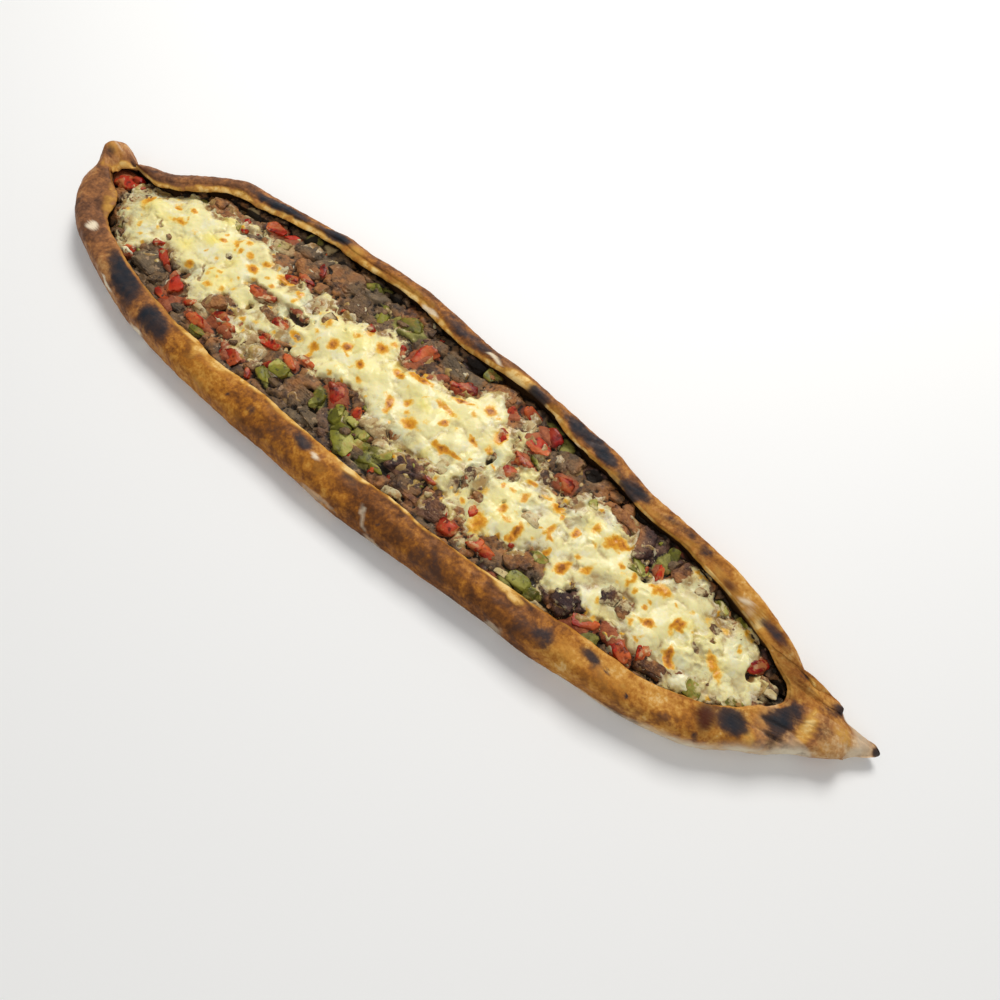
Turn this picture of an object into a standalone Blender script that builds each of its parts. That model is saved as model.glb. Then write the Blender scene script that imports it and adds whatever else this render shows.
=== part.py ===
"""A boat-shaped Turkish pide: a long flatbread with a rolled rim, a meat and vegetable filling and melted cheese.

Everything is worked out in one frame, in metres: X runs along the loaf from the knotted end to the tail, Y from
the near rim to the far rim, and Z up from the flat base. The origin is under the middle of the loaf.
Tables are in millimetres.
"""

import math

import bmesh
import bpy
import numpy as np
from mathutils import Euler, Matrix, Vector

MM = 0.001
GAP = 0.4 * MM  # clearance between two pieces that touch

# The bread.
FLOOR = 4.5 * MM  # top of the dough under the filling
LIP_THICKNESS = 4.2 * MM
LIP_OVERHANG = 6.5 * MM  # how far the rolled lip leans in over the filling
BASE_BAND = 15.0 * MM  # how far in from the edge the flat underside starts to be filled across

# The loaf's outline and the outline of its opening, as distances from the long axis at even stations.
STATIONS = np.arange(-223, 203, 25)
NEAR_EDGE = (-50.5, -58, -64, -67, -69, -70, -70, -69.5, -70, -70, -68.5, -66, -63.5, -61, -60, -56, -53, -46)
NEAR_LIP = (-31, -39, -44.5, -48, -49, -50.5, -48, -48, -49, -48.5, -46.5, -47, -45, -42.5, -40, -36.5, -34, -26)
FAR_LIP = (15, 34, 40.5, 45.5, 50, 51.5, 52, 52, 49, 48.5, 50, 48.5, 41, 39.5, 33.5, 32.5, 27.5, 21.5)
FAR_EDGE = (36.5, 53.5, 57.3, 60.7, 64.4, 65.4, 66.6, 68.2, 65.8, 62.4, 63, 60.2, 57.3, 55.4, 47.9, 46, 43.5, 37.9)

# What no station crosses: the knot on the left, the tail on the right, and both ends of the opening.
KNOT_NEAR = ((-282.5, 15), (-281, 7), (-275.5, -3), (-271, -18), (-262, -30), (-251, -39), (-239, -45))
KNOT_FAR = ((-237, 26), (-252, 20), (-260, 15.5), (-266.5, 16.5), (-273.5, 20.5), (-279.5, 20))
TAIL_NEAR = ((210, -43), (219, -38), (228, -31), (240, -23), (249, -15), (261, -7), (269, -1), (274, 5), (279, 9))
TAIL_FAR = ((282.5, 14), (279, 16), (270, 14.5), (263, 16.5), (257, 20), (250, 15), (243, 17.5), (226, 28.5), (216, 33))
OPENING_LEFT_NEAR = ((-261, -2), (-253, -7), (-241, -12), (-235, -19), (-231, -27))
OPENING_LEFT_FAR = ((-233, 10.5), (-243, 10.5), (-255, 10), (-260, 5))
OPENING_RIGHT_NEAR = ((211, -21), (219, -15), (225, -8), (230, -4))
OPENING_RIGHT_FAR = ((233, 3), (229, 9), (223, 12), (214, 17))

# Height of the rim's crown, as (x, height): along the near side, and along the far side.
CROWN_NEAR = ((-282, 19), (-272, 21), (-250, 20), (-215, 18.5), (0, 18.5), (205, 18), (232, 17), (255, 15), (282, 7))
CROWN_FAR = ((-282, 19), (-272, 21), (-258, 17), (-245, 18), (-215, 18), (0, 18), (205, 18), (238, 17), (250, 14), (282, 7))
KNOT_LUMP = (-271, 9, 8.0, 4.0)  # x, y, radius and rise of the folded knot
KNOT_FOLD = ((-260, 13.5), (-266, 20), 2.4, 4.5)  # from, to, half width and depth of the crease behind the knot
TAIL_FOLD = ((237, -9), (243, -26), 2.4, 1.8)  # the crease where the tail is twisted

RIBS_PER_SIDE = 56
END_CROWDING = 0.62  # how much closer the ribs stand at the two ends

# The filling.
FILLING_EDGE = 9.0 * MM  # height of the heap along the dough
FILLING_DOME = 3.4 * MM  # how much higher it stands away from the dough
FILLING_SHARES = (0.0, 0.16, 0.36, 0.58, 0.8)  # where its rings stand, from the dough to the middle line

# The melted cheese: a strip down the middle, as (x, near edge, far edge).
CHEESE_STRIP = (
    (-235, -6, 5), (-223, -21, 13), (-208, -29, 18), (-193, -19, 18), (-173, -20, 20), (-153, -28, 24),
    (-133, -15, 20), (-113, -19, 15), (-95, -13, 15), (-78, -18, 15), (-61, -19, 21), (-43, -14, 25),
    (-23, -17, 16), (-3, -18, 19), (15, -21, 32), (29, -22, 37), (42, -22, 22), (57, -30, 11), (75, -25, 13),
    (95, -15, 13), (111, -27, 23), (129, -19, 16), (149, -17, 8), (165, -26, 19), (183, -26, 21), (201, -21, 16),
    (213, -12, 6),
)
CHEESE_THICKNESS = 4.2 * MM
CHEESE_ACROSS = 8  # faces across the strip

# The pieces of meat and vegetable that show, as (kind, x, y, length, width, direction in degrees).
TOPPINGS = (
    ("tomato", -249, 2, 17, 11, 20), ("meat", -192, 28, 22, 13, 0), ("green_pepper", -177, 23, 13, 6, 0),
    ("red_pepper", -170, 27, 10, 5, -60), ("meat", -191, -31, 18, 13, 0), ("red_pepper", -187, -22, 15, 5, -30),
    ("meat", -175, -35, 12, 9, 10), ("tomato", -164, -31, 13, 12, -20), ("tomato", -154, 38, 14, 9, -10),
    ("meat", -129, 41, 18, 14, 30), ("meat", -117, 29, 16, 11, -10), ("meat", -95, 40, 24, 16, 10),
    ("meat", -76, 29, 17, 15, 0), ("green_pepper", -61, 37, 16, 8, -60), ("green_pepper", -44, 40, 17, 12, 25),
    ("tomato", -23, 31, 16, 11, 65), ("tomato", -124, -2, 14, 6, 15), ("tomato", -97, -10, 12, 8, -10),
    ("meat", -137, -25, 12, 12, 0), ("tomato", -125, -29, 14, 9, 30), ("tomato", -134, -40, 15, 8, 0),
    ("tomato", -102, -42, 14, 9, -15), ("onion", -95, -31, 9, 9, 0), ("green_pepper", -75, -31, 12, 11, 0),
    ("meat", -59, -36, 19, 13, 0), ("tomato", -40, -20, 15, 9, -40), ("green_pepper", -46, -30, 11, 7, -70),
    ("meat", -42, -41, 16, 8, -10), ("green_pepper", -17, -39, 18, 12, -20), ("green_pepper", -29, -31, 10, 9, 0),
    ("meat", 13, -28, 12, 10, 0), ("meat", 26, -34, 14, 12, 0), ("meat", 43, -35, 16, 13, 0),
    ("red_pepper", 58, -38, 11, 9, 20), ("tomato", 80, -35, 14, 6, 0), ("meat", 96, -28, 15, 10, 20),
    ("green_pepper", 104, -36, 13, 8, 0), ("meat", -4, 37, 17, 14, 0), ("tomato", 9, 29, 14, 11, 50),
    ("meat", 28, 43, 14, 9, 0), ("tomato", 48, 43, 13, 6, -10), ("red_pepper", 64, 40, 13, 9, -20),
    ("tomato", 62, 29, 16, 10, 0), ("tomato", 60, 17, 18, 7, 5), ("meat", 82, 33, 17, 13, 0),
    ("tomato", 87, 22, 13, 9, 0), ("meat", 100, 20, 13, 8, 80), ("meat", 124, 28, 18, 8, -5),
    ("meat", 138, 23, 17, 12, -60), ("green_pepper", 154, 24, 14, 8, 90), ("meat", 163, 21, 12, 8, 70),
    ("red_pepper", 216, 9, 14, 7, 60), ("meat", 125, -29, 15, 8, 0), ("tomato", 140, -30, 14, 8, 30),
    ("tomato", 157, -29, 20, 8, -20), ("meat", 178, -27, 14, 7, 10), ("meat", 224, 1, 11, 9, 0),
)
# Per kind: thickness, how far it is sunk into the heap, squareness (1 round, 0.4 boxy), bend, colour, roughness.
KINDS = {
    "meat": (8.5, 3.0, 0.72, 0.0, (0.20, 0.12, 0.08), 0.6),
    "tomato": (7.0, 2.5, 0.75, 0.12, (0.50, 0.10, 0.05), 0.35),
    "red_pepper": (6.0, 2.2, 0.55, 0.18, (0.52, 0.04, 0.03), 0.3),
    "green_pepper": (6.5, 2.2, 0.60, 0.15, (0.24, 0.28, 0.07), 0.35),
    "onion": (6.0, 2.4, 0.80, 0.0, (0.62, 0.50, 0.26), 0.35),
}


def smooth_outline(points):
    """Closed cubic through 2D points: returns a function from a share of its length to a point."""
    p = np.asarray(points, float)
    p = np.vstack([p[-2:], p, p[:3]])
    knots = np.concatenate([[0], np.cumsum(np.linalg.norm(np.diff(p, axis=0), axis=1) ** 0.8)])
    slopes = np.gradient(p, knots, axis=0)
    t = np.linspace(knots[2], knots[-3], 4000)
    i = np.clip(np.searchsorted(knots, t, side="right") - 1, 0, len(knots) - 2)
    step = (knots[i + 1] - knots[i])[:, None]
    u = (t[:, None] - knots[i][:, None]) / step
    fine = (
        (2 * u**3 - 3 * u**2 + 1) * p[i]
        + (u**3 - 2 * u**2 + u) * step * slopes[i]
        + (3 * u**2 - 2 * u**3) * p[i + 1]
        + (u**3 - u**2) * step * slopes[i + 1]
    )
    along = np.concatenate([[0], np.cumsum(np.linalg.norm(np.diff(fine, axis=0), axis=1))])
    along /= along[-1]

    def point(share):
        return np.stack([np.interp(share, along, fine[:, k]) for k in range(2)], axis=-1)

    return point, lambda xy: along[np.argmin(np.linalg.norm(fine - xy, axis=1))]


def loop_through(left_near, near, right_near, right_far, far, left_far):
    """A closed outline from the left end along the near side to the right end, and back along the far side.

    Returns a function of s from 0 to 2: 0 is the left end, 1 the right end, and steps are even along each side.
    """
    middle_near = list(zip(STATIONS, near))
    middle_far = list(zip(STATIONS[::-1], far[::-1]))
    points = [*left_near, *middle_near, *right_near, *right_far, *middle_far, *left_far]
    outline, share_at = smooth_outline(np.array(points) * MM)
    turn = share_at(np.array(right_far[0]) * MM)
    return lambda s: outline(np.where(s <= 1, s * turn, turn + (s - 1) * (1 - turn)))


EDGE = loop_through(KNOT_NEAR, NEAR_EDGE, TAIL_NEAR, TAIL_FAR, FAR_EDGE, KNOT_FAR)
LIP = loop_through(OPENING_LEFT_NEAR, NEAR_LIP, OPENING_RIGHT_NEAR, OPENING_RIGHT_FAR, FAR_LIP, OPENING_LEFT_FAR)


def rib_shares():
    """Where the ribs stand on the loop, from 0 to 2, closer together near the two ends."""
    t = np.arange(RIBS_PER_SIDE) / RIBS_PER_SIDE
    side = t - END_CROWDING * np.sin(2 * math.pi * t) / (2 * math.pi)
    return np.concatenate([side, 1 + side])


S = rib_shares()
RIB_EDGE = EDGE(S)
RIB_LIP = LIP(S)
RIM_WIDTH = np.linalg.norm(RIB_LIP - RIB_EDGE, axis=1)
INWARD = (RIB_LIP - RIB_EDGE) / RIM_WIDTH[:, None]
RISE = np.minimum(0.62 * RIM_WIDTH, 13 * MM)  # how far in from the edge the crown is reached
WALL = RIM_WIDTH - LIP_OVERHANG


def crease(xy, fold):
    """Depth of a crease at each point: a smooth groove along a line, fading at its two ends."""
    start, end, half_width, depth = fold
    a, b = np.array(start) * MM, np.array(end) * MM
    along = np.clip(((xy - a) @ (b - a)) / ((b - a) @ (b - a)), 0, 1)
    away = np.linalg.norm(xy - a - along[:, None] * (b - a), axis=1)
    return depth * np.exp(-((away / (half_width * MM)) ** 2))


def crown_height(xy):
    """Height of the rim's top surface at each rib: slow waves of hand-rolled dough, the knot and the creases."""
    x = xy[:, 0] / MM
    height = np.where(S <= 1, np.interp(x, *zip(*CROWN_NEAR)), np.interp(x, *zip(*CROWN_FAR)))
    height = height + (0.5 * np.sin(17 * S + 1.0) + 0.35 * np.sin(41 * S)) * np.sin(math.pi * (S % 1))
    lump_x, lump_y, radius, rise = KNOT_LUMP
    away = np.linalg.norm(xy / MM - (lump_x, lump_y), axis=1)
    height += rise * np.exp(-((away / radius) ** 2))
    return (height - crease(xy, KNOT_FOLD) - crease(xy, TAIL_FOLD)) * MM


def underside_lift(xy):
    """How far the underside curls up off the table towards the two ends."""
    x = xy[:, 0] / MM
    return (np.clip((x - 190) / 90, 0, 1) ** 1.5 * 4.0 + np.clip((-x - 225) / 55, 0, 1) ** 1.5 * 3.0) * MM


def rim_sections():
    """The rib's section, from the underside out over the crown to the floor.

    Each row is a distance in from the edge, a share of the crown's height, a height added to it,
    and a share of the underside's lift.
    """
    none = 0 * RIM_WIDTH
    return (
        (BASE_BAND + none, 0, 0, 0),
        (0.42 * RISE, 0, 0, 0.45),
        (0.10 * RISE, 0.09, 0, 0.8),
        (none, 0.33, 0, 1.0),
        (0.10 * RISE, 0.62, 0, 0.4),
        (0.38 * RISE, 0.87, 0, 0),
        (RISE, 1, 0, 0),
        (0.45 * RISE + 0.55 * (RIM_WIDTH - 3.6 * MM), 1, 0, 0),
        (RIM_WIDTH - 3.6 * MM, 1, -0.9 * MM, 0),
        (RIM_WIDTH - 0.9 * MM, 1, -2.2 * MM, 0),
        (RIM_WIDTH, 1, -3.4 * MM, 0),
        (RIM_WIDTH - 1.0 * MM, 1, -0.8 * MM - LIP_THICKNESS, 0),
        (0.75 * WALL + 0.25 * RIM_WIDTH, 1, -0.8 * MM - LIP_THICKNESS, 0),
        (WALL, 0.5, 0.5 * (FLOOR - LIP_THICKNESS), 0),
        (WALL + 1.2 * MM, 0, FLOOR, 0),
    )


def ring(xy, height):
    return np.column_stack([xy, height + 0 * xy[:, 0]])


def close_across(bm, loop, facing_up):
    """Fills a loop of vertices with faces that run straight across, from the near side to the far side."""
    count = len(loop)
    for i in range(count // 2):
        corners = [loop[i], loop[i + 1], loop[count - i - 1], loop[(count - i) % count]]
        corners = list(dict.fromkeys(corners))
        if len(corners) > 2:
            bm.faces.new(corners if facing_up else corners[::-1])


def loft(rings):
    """A bmesh of quads between closed rings of points, the first and the last one filled straight across."""
    bm = bmesh.new()
    made = [[bm.verts.new(p) for p in points] for points in rings]
    count = len(made[0])
    for low, high in zip(made, made[1:]):
        for i in range(count):
            j = (i + 1) % count
            bm.faces.new([low[i], low[j], high[j], high[i]])
    close_across(bm, made[0], facing_up=False)
    close_across(bm, made[-1], facing_up=True)
    return bm


def new_material(name, colour, roughness):
    material = bpy.data.materials.new(name)
    material.use_nodes = True
    shader = material.node_tree.nodes["Principled BSDF"]
    shader.inputs["Base Color"].default_value = (*colour, 1)
    shader.inputs["Roughness"].default_value = roughness
    shader.inputs["Metallic"].default_value = 0
    return material


def new_object(name, bm, collection, material=None):
    """Turns a bmesh into a named object whose faces point outwards."""
    bmesh.ops.triangulate(bm, faces=bm.faces, quad_method="FIXED", ngon_method="EAR_CLIP")
    bmesh.ops.recalc_face_normals(bm, faces=bm.faces)
    mesh = bpy.data.meshes.new(name)
    bm.to_mesh(mesh)
    bm.free()
    if material:
        mesh.materials.append(material)
    obj = bpy.data.objects.new(name, mesh)
    collection.objects.link(obj)
    return obj


def new_cutter(name, bm):
    cutter = new_object(name, bm, CUTTERS)
    cutter.hide_render = True
    cutter.display_type = "WIRE"
    return cutter


def boolean(obj, cutter, operation):
    modifier = obj.modifiers.new(cutter.name, "BOOLEAN")
    modifier.object = cutter
    modifier.operation = operation
    modifier.solver = "EXACT"


def make_dough():
    """The bread: a floor with a rolled rim, pinched to a knot on the left and twisted to a tail on the right."""
    rings = []
    for inset, share, added, lifted in rim_sections():
        xy = RIB_EDGE + INWARD * inset[:, None]
        rings.append(ring(xy, share * crown_height(xy) + added + lifted * underside_lift(RIB_EDGE)))
    new_object("dough", loft(rings), LOAF, new_material("dough", (0.62, 0.36, 0.14), 0.7))


def filling_height(x, y, from_dough):
    """Top of the heaped filling: it rises away from the dough, with the bumps of chopped meat and vegetables."""
    dome = FILLING_DOME * (1 - np.exp(-from_dough / (14 * MM)))
    bumps = 0.45 * np.sin(x / (7 * MM)) * np.cos(y / (6 * MM)) + 0.3 * np.sin(x / (4 * MM) + y / (5 * MM))
    return FILLING_EDGE + dome + bumps * MM


def filling_rings(raised):
    """Closed rings of the filling, from its bottom edge to near its middle line, with the top raised."""
    outer = RIB_EDGE + INWARD * (WALL + 1.2 * MM + 2 * GAP)[:, None]
    half = RIBS_PER_SIDE
    opposite = np.concatenate([outer[:1], outer[:0:-1]])
    middle = 0.5 * (outer + opposite)
    middle[0] = 0.6 * middle[1] + 0.4 * outer[0]
    middle[half] = 0.6 * middle[half - 1] + 0.4 * outer[half]
    reach = np.linalg.norm(middle - outer, axis=1)
    rings = [ring(outer, FLOOR + GAP)]
    for share in FILLING_SHARES:
        xy = outer + (middle - outer) * share
        rings.append(ring(xy, filling_height(xy[:, 0], xy[:, 1], share * reach) + raised))
    return rings


def half_opening(x):
    """Middle and half width of the opening at each x."""
    t = np.linspace(0.0, 1.0, 400)
    near, far = LIP(t), LIP(2 - t)
    low = np.interp(x, near[:, 0], near[:, 1])
    high = np.interp(x, far[:, 0], far[:, 1])
    return (low + high) / 2, (high - low) / 2


def heap_height(x, y):
    """Height of the filling's top at points inside the opening."""
    middle, half = half_opening(x)
    return filling_height(x, y, np.maximum(half + 4 * MM - np.abs(y - middle), 0))


def make_cheese():
    """The melted cheese: a strip with a rounded, uneven top that lies on the filling."""
    x, near, far = np.array(CHEESE_STRIP).T * MM
    stations = np.linspace(x[0], x[-1], 2 * len(x) - 1)
    near, far = np.interp(stations, x, near), np.interp(stations, x, far)
    u = np.linspace(-1, 1, CHEESE_ACROSS + 1)
    bm = bmesh.new()
    rows = []
    for i, at in enumerate(stations):
        y = (near[i] + far[i]) / 2 + u * (far[i] - near[i]) / 2
        end = min(1.0, 0.35 + 0.4 * min(i, len(stations) - 1 - i))
        swell = end * (0.9 + 0.12 * math.sin(at / (9 * MM)) + 0.08 * math.sin(at / (4.3 * MM)))
        top = heap_height(at + 0 * y, y) + CHEESE_THICKNESS * swell * (0.35 + 0.65 * np.sqrt(1 - u**4))
        row = [(at, y[0], FLOOR + 1.5 * MM)]
        row += [(at, y[k], top[k]) for k in range(len(u))]
        row.append((at, y[-1], FLOOR + 1.5 * MM))
        rows.append([bm.verts.new(p) for p in row])
    for low, high in zip(rows, rows[1:]):
        for k in range(len(low)):
            j = (k + 1) % len(low)
            bm.faces.new([low[k], low[j], high[j], high[k]])
    bm.faces.new(rows[0])
    bm.faces.new(rows[-1][::-1])
    return new_object("cheese", bm, LOAF, new_material("cheese", (0.85, 0.72, 0.40), 0.4))


def lump(row, index, grown):
    """A rounded chunk of one kind, laid on the filling with a little tilt, every side moved out by a clearance."""
    kind, x, y, length, width, direction = row
    thickness, sunk, squareness, bend = KINDS[kind][:4]
    rng = np.random.default_rng(100 + index)
    bm = bmesh.new()
    bmesh.ops.create_icosphere(bm, subdivisions=2, radius=1)
    half = np.array([length, width, thickness]) / 2 * MM
    uneven = rng.uniform(0.9, 1.06, len(bm.verts))
    tilt = Euler(np.radians((*rng.uniform(-7, 7, 2), direction)))
    z = heap_height(np.array([x * MM]), np.array([y * MM]))[0] + half[2] - sunk * MM
    place = Matrix.Translation((x * MM, y * MM, z)) @ tilt.to_matrix().to_4x4()
    for vertex, factor in zip(bm.verts, uneven):
        p = np.array(vertex.co)
        p = np.sign(p) * np.abs(p) ** squareness
        p = p / np.max([1.0, np.linalg.norm(p) / 1.18]) * factor
        p = p * half + np.sign(vertex.co) * grown
        p[2] -= bend * p[0] ** 2 / half[0]
        vertex.co = place @ Vector(p)
    return bm


def crosses_lip(row):
    """Whether a topping reaches the outline of the opening."""
    _, x, y, length, width, _ = row
    middle, half = half_opening(np.array([(x - length / 3) * MM, x * MM, (x + length / 3) * MM]))
    return bool(np.any(np.abs(y * MM - middle) + 0.75 * width * MM > half)) or x > 205 or x < -240


def close_together(a, b):
    """Whether two toppings may touch."""
    away = math.hypot(a[1] - b[1], a[2] - b[2])
    return away < 0.5 * math.hypot(a[3], a[4]) + 0.5 * math.hypot(b[3], b[4]) + 1


def cheese_meets(row):
    """Whether a topping may touch the cheese."""
    x, near, far = np.array(CHEESE_STRIP).T
    reach = 0.5 * math.hypot(row[3], row[4]) + 1
    span = np.linspace(row[1] - reach, row[1] + reach, 9)
    low, high = np.interp(span, x, near), np.interp(span, x, far)
    inside = (span > x[0] - 1) & (span < x[-1] + 1)
    return bool(np.any(inside & (row[2] + reach > low) & (row[2] - reach < high)))


def make_toppings(above_filling, opening, cheese):
    """The large pieces: each rests on the filling, clear of the ones before it, and the cheese is clear of all."""
    materials = {kind: new_material(kind, *looks[4:]) for kind, looks in KINDS.items()}
    count = dict.fromkeys(KINDS, 0)
    placed = []
    for index, row in enumerate(TOPPINGS):
        count[row[0]] += 1
        name = f"{row[0]}_{count[row[0]]:02d}"
        piece = new_object(name, lump(row, index, 0.0), LOAF, materials[row[0]])
        boolean(piece, above_filling, "DIFFERENCE")
        if crosses_lip(row):
            boolean(piece, opening, "INTERSECT")
        before = [cutter for other, cutter in placed if close_together(row, other)]
        for cutter in before:
            boolean(piece, cutter, "DIFFERENCE")
        grown = new_cutter(f"around_{name}", lump(row, index, GAP))
        placed.append((row, grown))
        if cheese_meets(row):
            boolean(cheese, grown, "DIFFERENCE")


def new_collection(name):
    made = bpy.data.collections.new(name)
    bpy.context.scene.collection.children.link(made)
    return made


for old in list(bpy.data.objects):
    bpy.data.objects.remove(old)
LOAF = new_collection("turkish_pide")
CUTTERS = new_collection("cutters")
CUTTERS.hide_render = True
make_dough()
new_object("filling", loft(filling_rings(0.0)), LOAF, new_material("filling", (0.24, 0.13, 0.08), 0.6))
ABOVE_FILLING = new_cutter("filling_raised", loft(filling_rings(GAP)))
LIP_INSET = RIB_LIP + INWARD * GAP
OPENING = new_cutter("opening", loft([ring(LIP_INSET, FLOOR), ring(LIP_INSET, 40 * MM)]))
CHEESE = make_cheese()
boolean(CHEESE, ABOVE_FILLING, "DIFFERENCE")
boolean(CHEESE, OPENING, "INTERSECT")
make_toppings(ABOVE_FILLING, OPENING, CHEESE)
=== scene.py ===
# %% [markdown]
# # A Turkish pide, from bread to melted cheese
# A pide is a long flatbread whose sides are rolled up into a rim and pinched together at both ends. Chopped meat,
# tomato and pepper are heaped inside, and grated cheese is melted over the middle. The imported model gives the
# places and sizes; this lesson grows a fine surface for every part of it with numpy.

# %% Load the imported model
import math

import bpy
import numpy as np
from mathutils import Matrix, Vector


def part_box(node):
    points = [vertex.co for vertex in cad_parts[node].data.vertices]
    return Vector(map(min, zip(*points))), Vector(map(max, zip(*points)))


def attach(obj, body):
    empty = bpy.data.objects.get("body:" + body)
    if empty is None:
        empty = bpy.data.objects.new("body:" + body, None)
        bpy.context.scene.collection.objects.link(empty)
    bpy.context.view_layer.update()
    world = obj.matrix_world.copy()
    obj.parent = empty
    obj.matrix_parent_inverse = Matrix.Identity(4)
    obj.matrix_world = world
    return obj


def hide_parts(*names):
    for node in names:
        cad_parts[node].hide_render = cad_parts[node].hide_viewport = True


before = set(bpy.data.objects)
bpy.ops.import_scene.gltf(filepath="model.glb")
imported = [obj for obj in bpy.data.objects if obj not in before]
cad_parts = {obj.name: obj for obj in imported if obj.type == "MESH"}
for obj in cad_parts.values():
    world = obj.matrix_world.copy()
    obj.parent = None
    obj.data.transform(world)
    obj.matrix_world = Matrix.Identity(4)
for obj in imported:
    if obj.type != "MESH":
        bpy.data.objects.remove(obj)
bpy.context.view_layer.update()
MM = 0.001

# %% [markdown]
# ## Noise, made from arrays
# Baked dough and minced meat are uneven at every size, so almost every surface below adds some noise to a simple
# shape. Value noise gives each corner of a grid of cubes a random number and blends between them; adding it to
# itself at half the size and half the strength, a few times over, gives natural roughness. It works on whole
# arrays of points at once.


# %% Value noise and its sum over sizes
def lattice_value(cell, seed):
    """A repeatable random number from -1 to 1 for each whole-number corner of space."""
    h = (cell[..., 0] * 374761393 + cell[..., 1] * 668265263 + cell[..., 2] * 1442695041 + seed * 974711) & 0xFFFFFFFF
    h = ((h ^ (h >> 13)) * 1274126177) & 0xFFFFFFFF
    h = ((h ^ (h >> 16)) * 668265263) & 0xFFFFFFFF
    return (h ^ (h >> 15)) / 0x7FFFFFFF - 1.0


def value_noise(points, seed):
    """Blend of the eight corner values around each point, with the smooth weight 6t^5 - 15t^4 + 10t^3."""
    low = np.floor(points).astype(np.int64)
    t = points - low
    w = t * t * t * (t * (t * 6 - 15) + 10)
    total = np.zeros(points.shape[:-1])
    for dx in (0, 1):
        for dy in (0, 1):
            for dz in (0, 1):
                share = (w[..., 0] if dx else 1 - w[..., 0]) * (w[..., 1] if dy else 1 - w[..., 1])
                share = share * (w[..., 2] if dz else 1 - w[..., 2])
                total += share * lattice_value(low + np.array([dx, dy, dz]), seed)
    return total


def rough(points, size, seed, octaves=3, keep=0.5):
    """Noise of the given size in metres plus itself at half the size and keep times the strength, octaves times."""
    total, strength, whole = 0.0, 1.0, 0.0
    for k in range(octaves):
        total = total + strength * value_noise(points * (2.0**k / size), seed + 31 * k)
        whole += strength
        strength *= keep
    return total / whole


def flat_rough(x, y, size, seed, octaves=3, keep=0.5):
    """The same noise over a flat place."""
    x, y = np.broadcast_arrays(x, y)
    return rough(np.stack([x, y, 0 * x], axis=-1), size, seed, octaves, keep)


def smooth_step(low, high, value):
    """0 below low, 1 above high, and the cubic 3t^2 - 2t^3 in between."""
    t = np.clip((value - low) / (high - low), 0, 1)
    return t * t * (3 - 2 * t)


def spots(x, y, marks, soft=0.35):
    """Strength at each point of oval marks (x, y, half length, half width, turn in degrees, strength).

    A mark is full out to 1 - soft of its oval and gone at 1 + soft, and marks that overlap add up as 1 - (1-a)(1-b).
    """
    left = np.ones(np.broadcast(x, y).shape)
    for mx, my, a, b, turn, strength in marks:
        c, s = math.cos(math.radians(turn)), math.sin(math.radians(turn))
        u, v = (x / MM - mx), (y / MM - my)
        d = np.sqrt(((u * c + v * s) / a) ** 2 + ((v * c - u * s) / b) ** 2)
        left = left * (1 - min(strength, 0.98) * (1 - smooth_step(1 - soft, 1 + soft, d)))
    return 1 - left


# %% [markdown]
# ## Putting a grid into a mesh
# A grid of points becomes quads by joining each point to its neighbours. A sheet that closes on itself sideways
# also joins its last column to its first. Per-point numbers, such as how burnt the crust is, are stored as named
# attributes that the materials read.


# %% Mesh helpers
def grid_faces(rows, columns, wrap):
    """Quads (a, b, c, d) of a rows by columns grid; wrap joins the last column to the first."""
    r, c = np.meshgrid(np.arange(rows - 1), np.arange(columns if wrap else columns - 1), indexing="ij")
    c1 = (c + 1) % columns
    return np.stack([r * columns + c, r * columns + c1, (r + 1) * columns + c1, (r + 1) * columns + c], -1).reshape(-1, 4)


def new_piece(name, points, faces, smooth=True, **numbers):
    """A mesh object at the origin from arrays of points and of faces (lists of arrays), with per-point numbers."""
    mesh = bpy.data.meshes.new(name)
    groups = [np.asarray(f, np.int32) for f in (faces if isinstance(faces, list) else [faces]) if len(f)]
    corners = np.concatenate([g.reshape(-1) for g in groups])
    sizes = np.concatenate([np.full(len(g), g.shape[1], np.int32) for g in groups])
    points = np.asarray(points, np.float32).reshape(-1, 3)
    mesh.vertices.add(len(points))
    mesh.vertices.foreach_set("co", points.reshape(-1))
    mesh.loops.add(len(corners))
    mesh.loops.foreach_set("vertex_index", corners)
    mesh.polygons.add(len(sizes))
    mesh.polygons.foreach_set("loop_start", np.concatenate([[0], np.cumsum(sizes)[:-1]]).astype(np.int32))
    mesh.polygons.foreach_set("use_smooth", np.full(len(sizes), smooth))
    mesh.update(calc_edges=True)
    mesh.validate()
    for key, values in numbers.items():
        mesh.attributes.new(key, "FLOAT", "POINT").data.foreach_set("value", np.asarray(values, np.float32).reshape(-1))
    piece = bpy.data.objects.new(name, mesh)
    bpy.context.scene.collection.objects.link(piece)
    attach(piece, "root")
    print(f"{name}: {len(points)} points, {int((sizes - 2).sum())} triangles")
    return piece


def across(loop):
    """Faces that close a loop of point numbers by running straight across it, from each side to the other."""
    n = len(loop)
    i = np.arange(1, n // 2 - 1)
    quads = np.stack([loop[i], loop[i + 1], loop[n - i - 1], loop[n - i]], -1)
    ends = np.array([[loop[0], loop[1], loop[n - 1]], [loop[n // 2 - 1], loop[n // 2], loop[n // 2 + 1]]])
    return [quads, ends]


# %% [markdown]
# ## Node materials in a few words
# Every finish below is a Principled shader fed by a few nodes: noise for mottling, ramps for colour, the stored
# attributes for scorch marks and thin spots, and a bump for what is finer than the mesh. These helpers only save
# typing. Colours are given as they look on a screen, 0 to 255, and turned into the linear values Blender uses.


# %% Material helpers
def ink(red, green, blue):
    """A screen colour as linear RGBA: each share is divided by 12.92 below 0.04, and raised to 2.4 above it."""
    share = np.array([red, green, blue]) / 255
    linear = np.where(share <= 0.04045, share / 12.92, ((share + 0.055) / 1.055) ** 2.4)
    return (*[float(v) for v in linear], 1.0)


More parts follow.
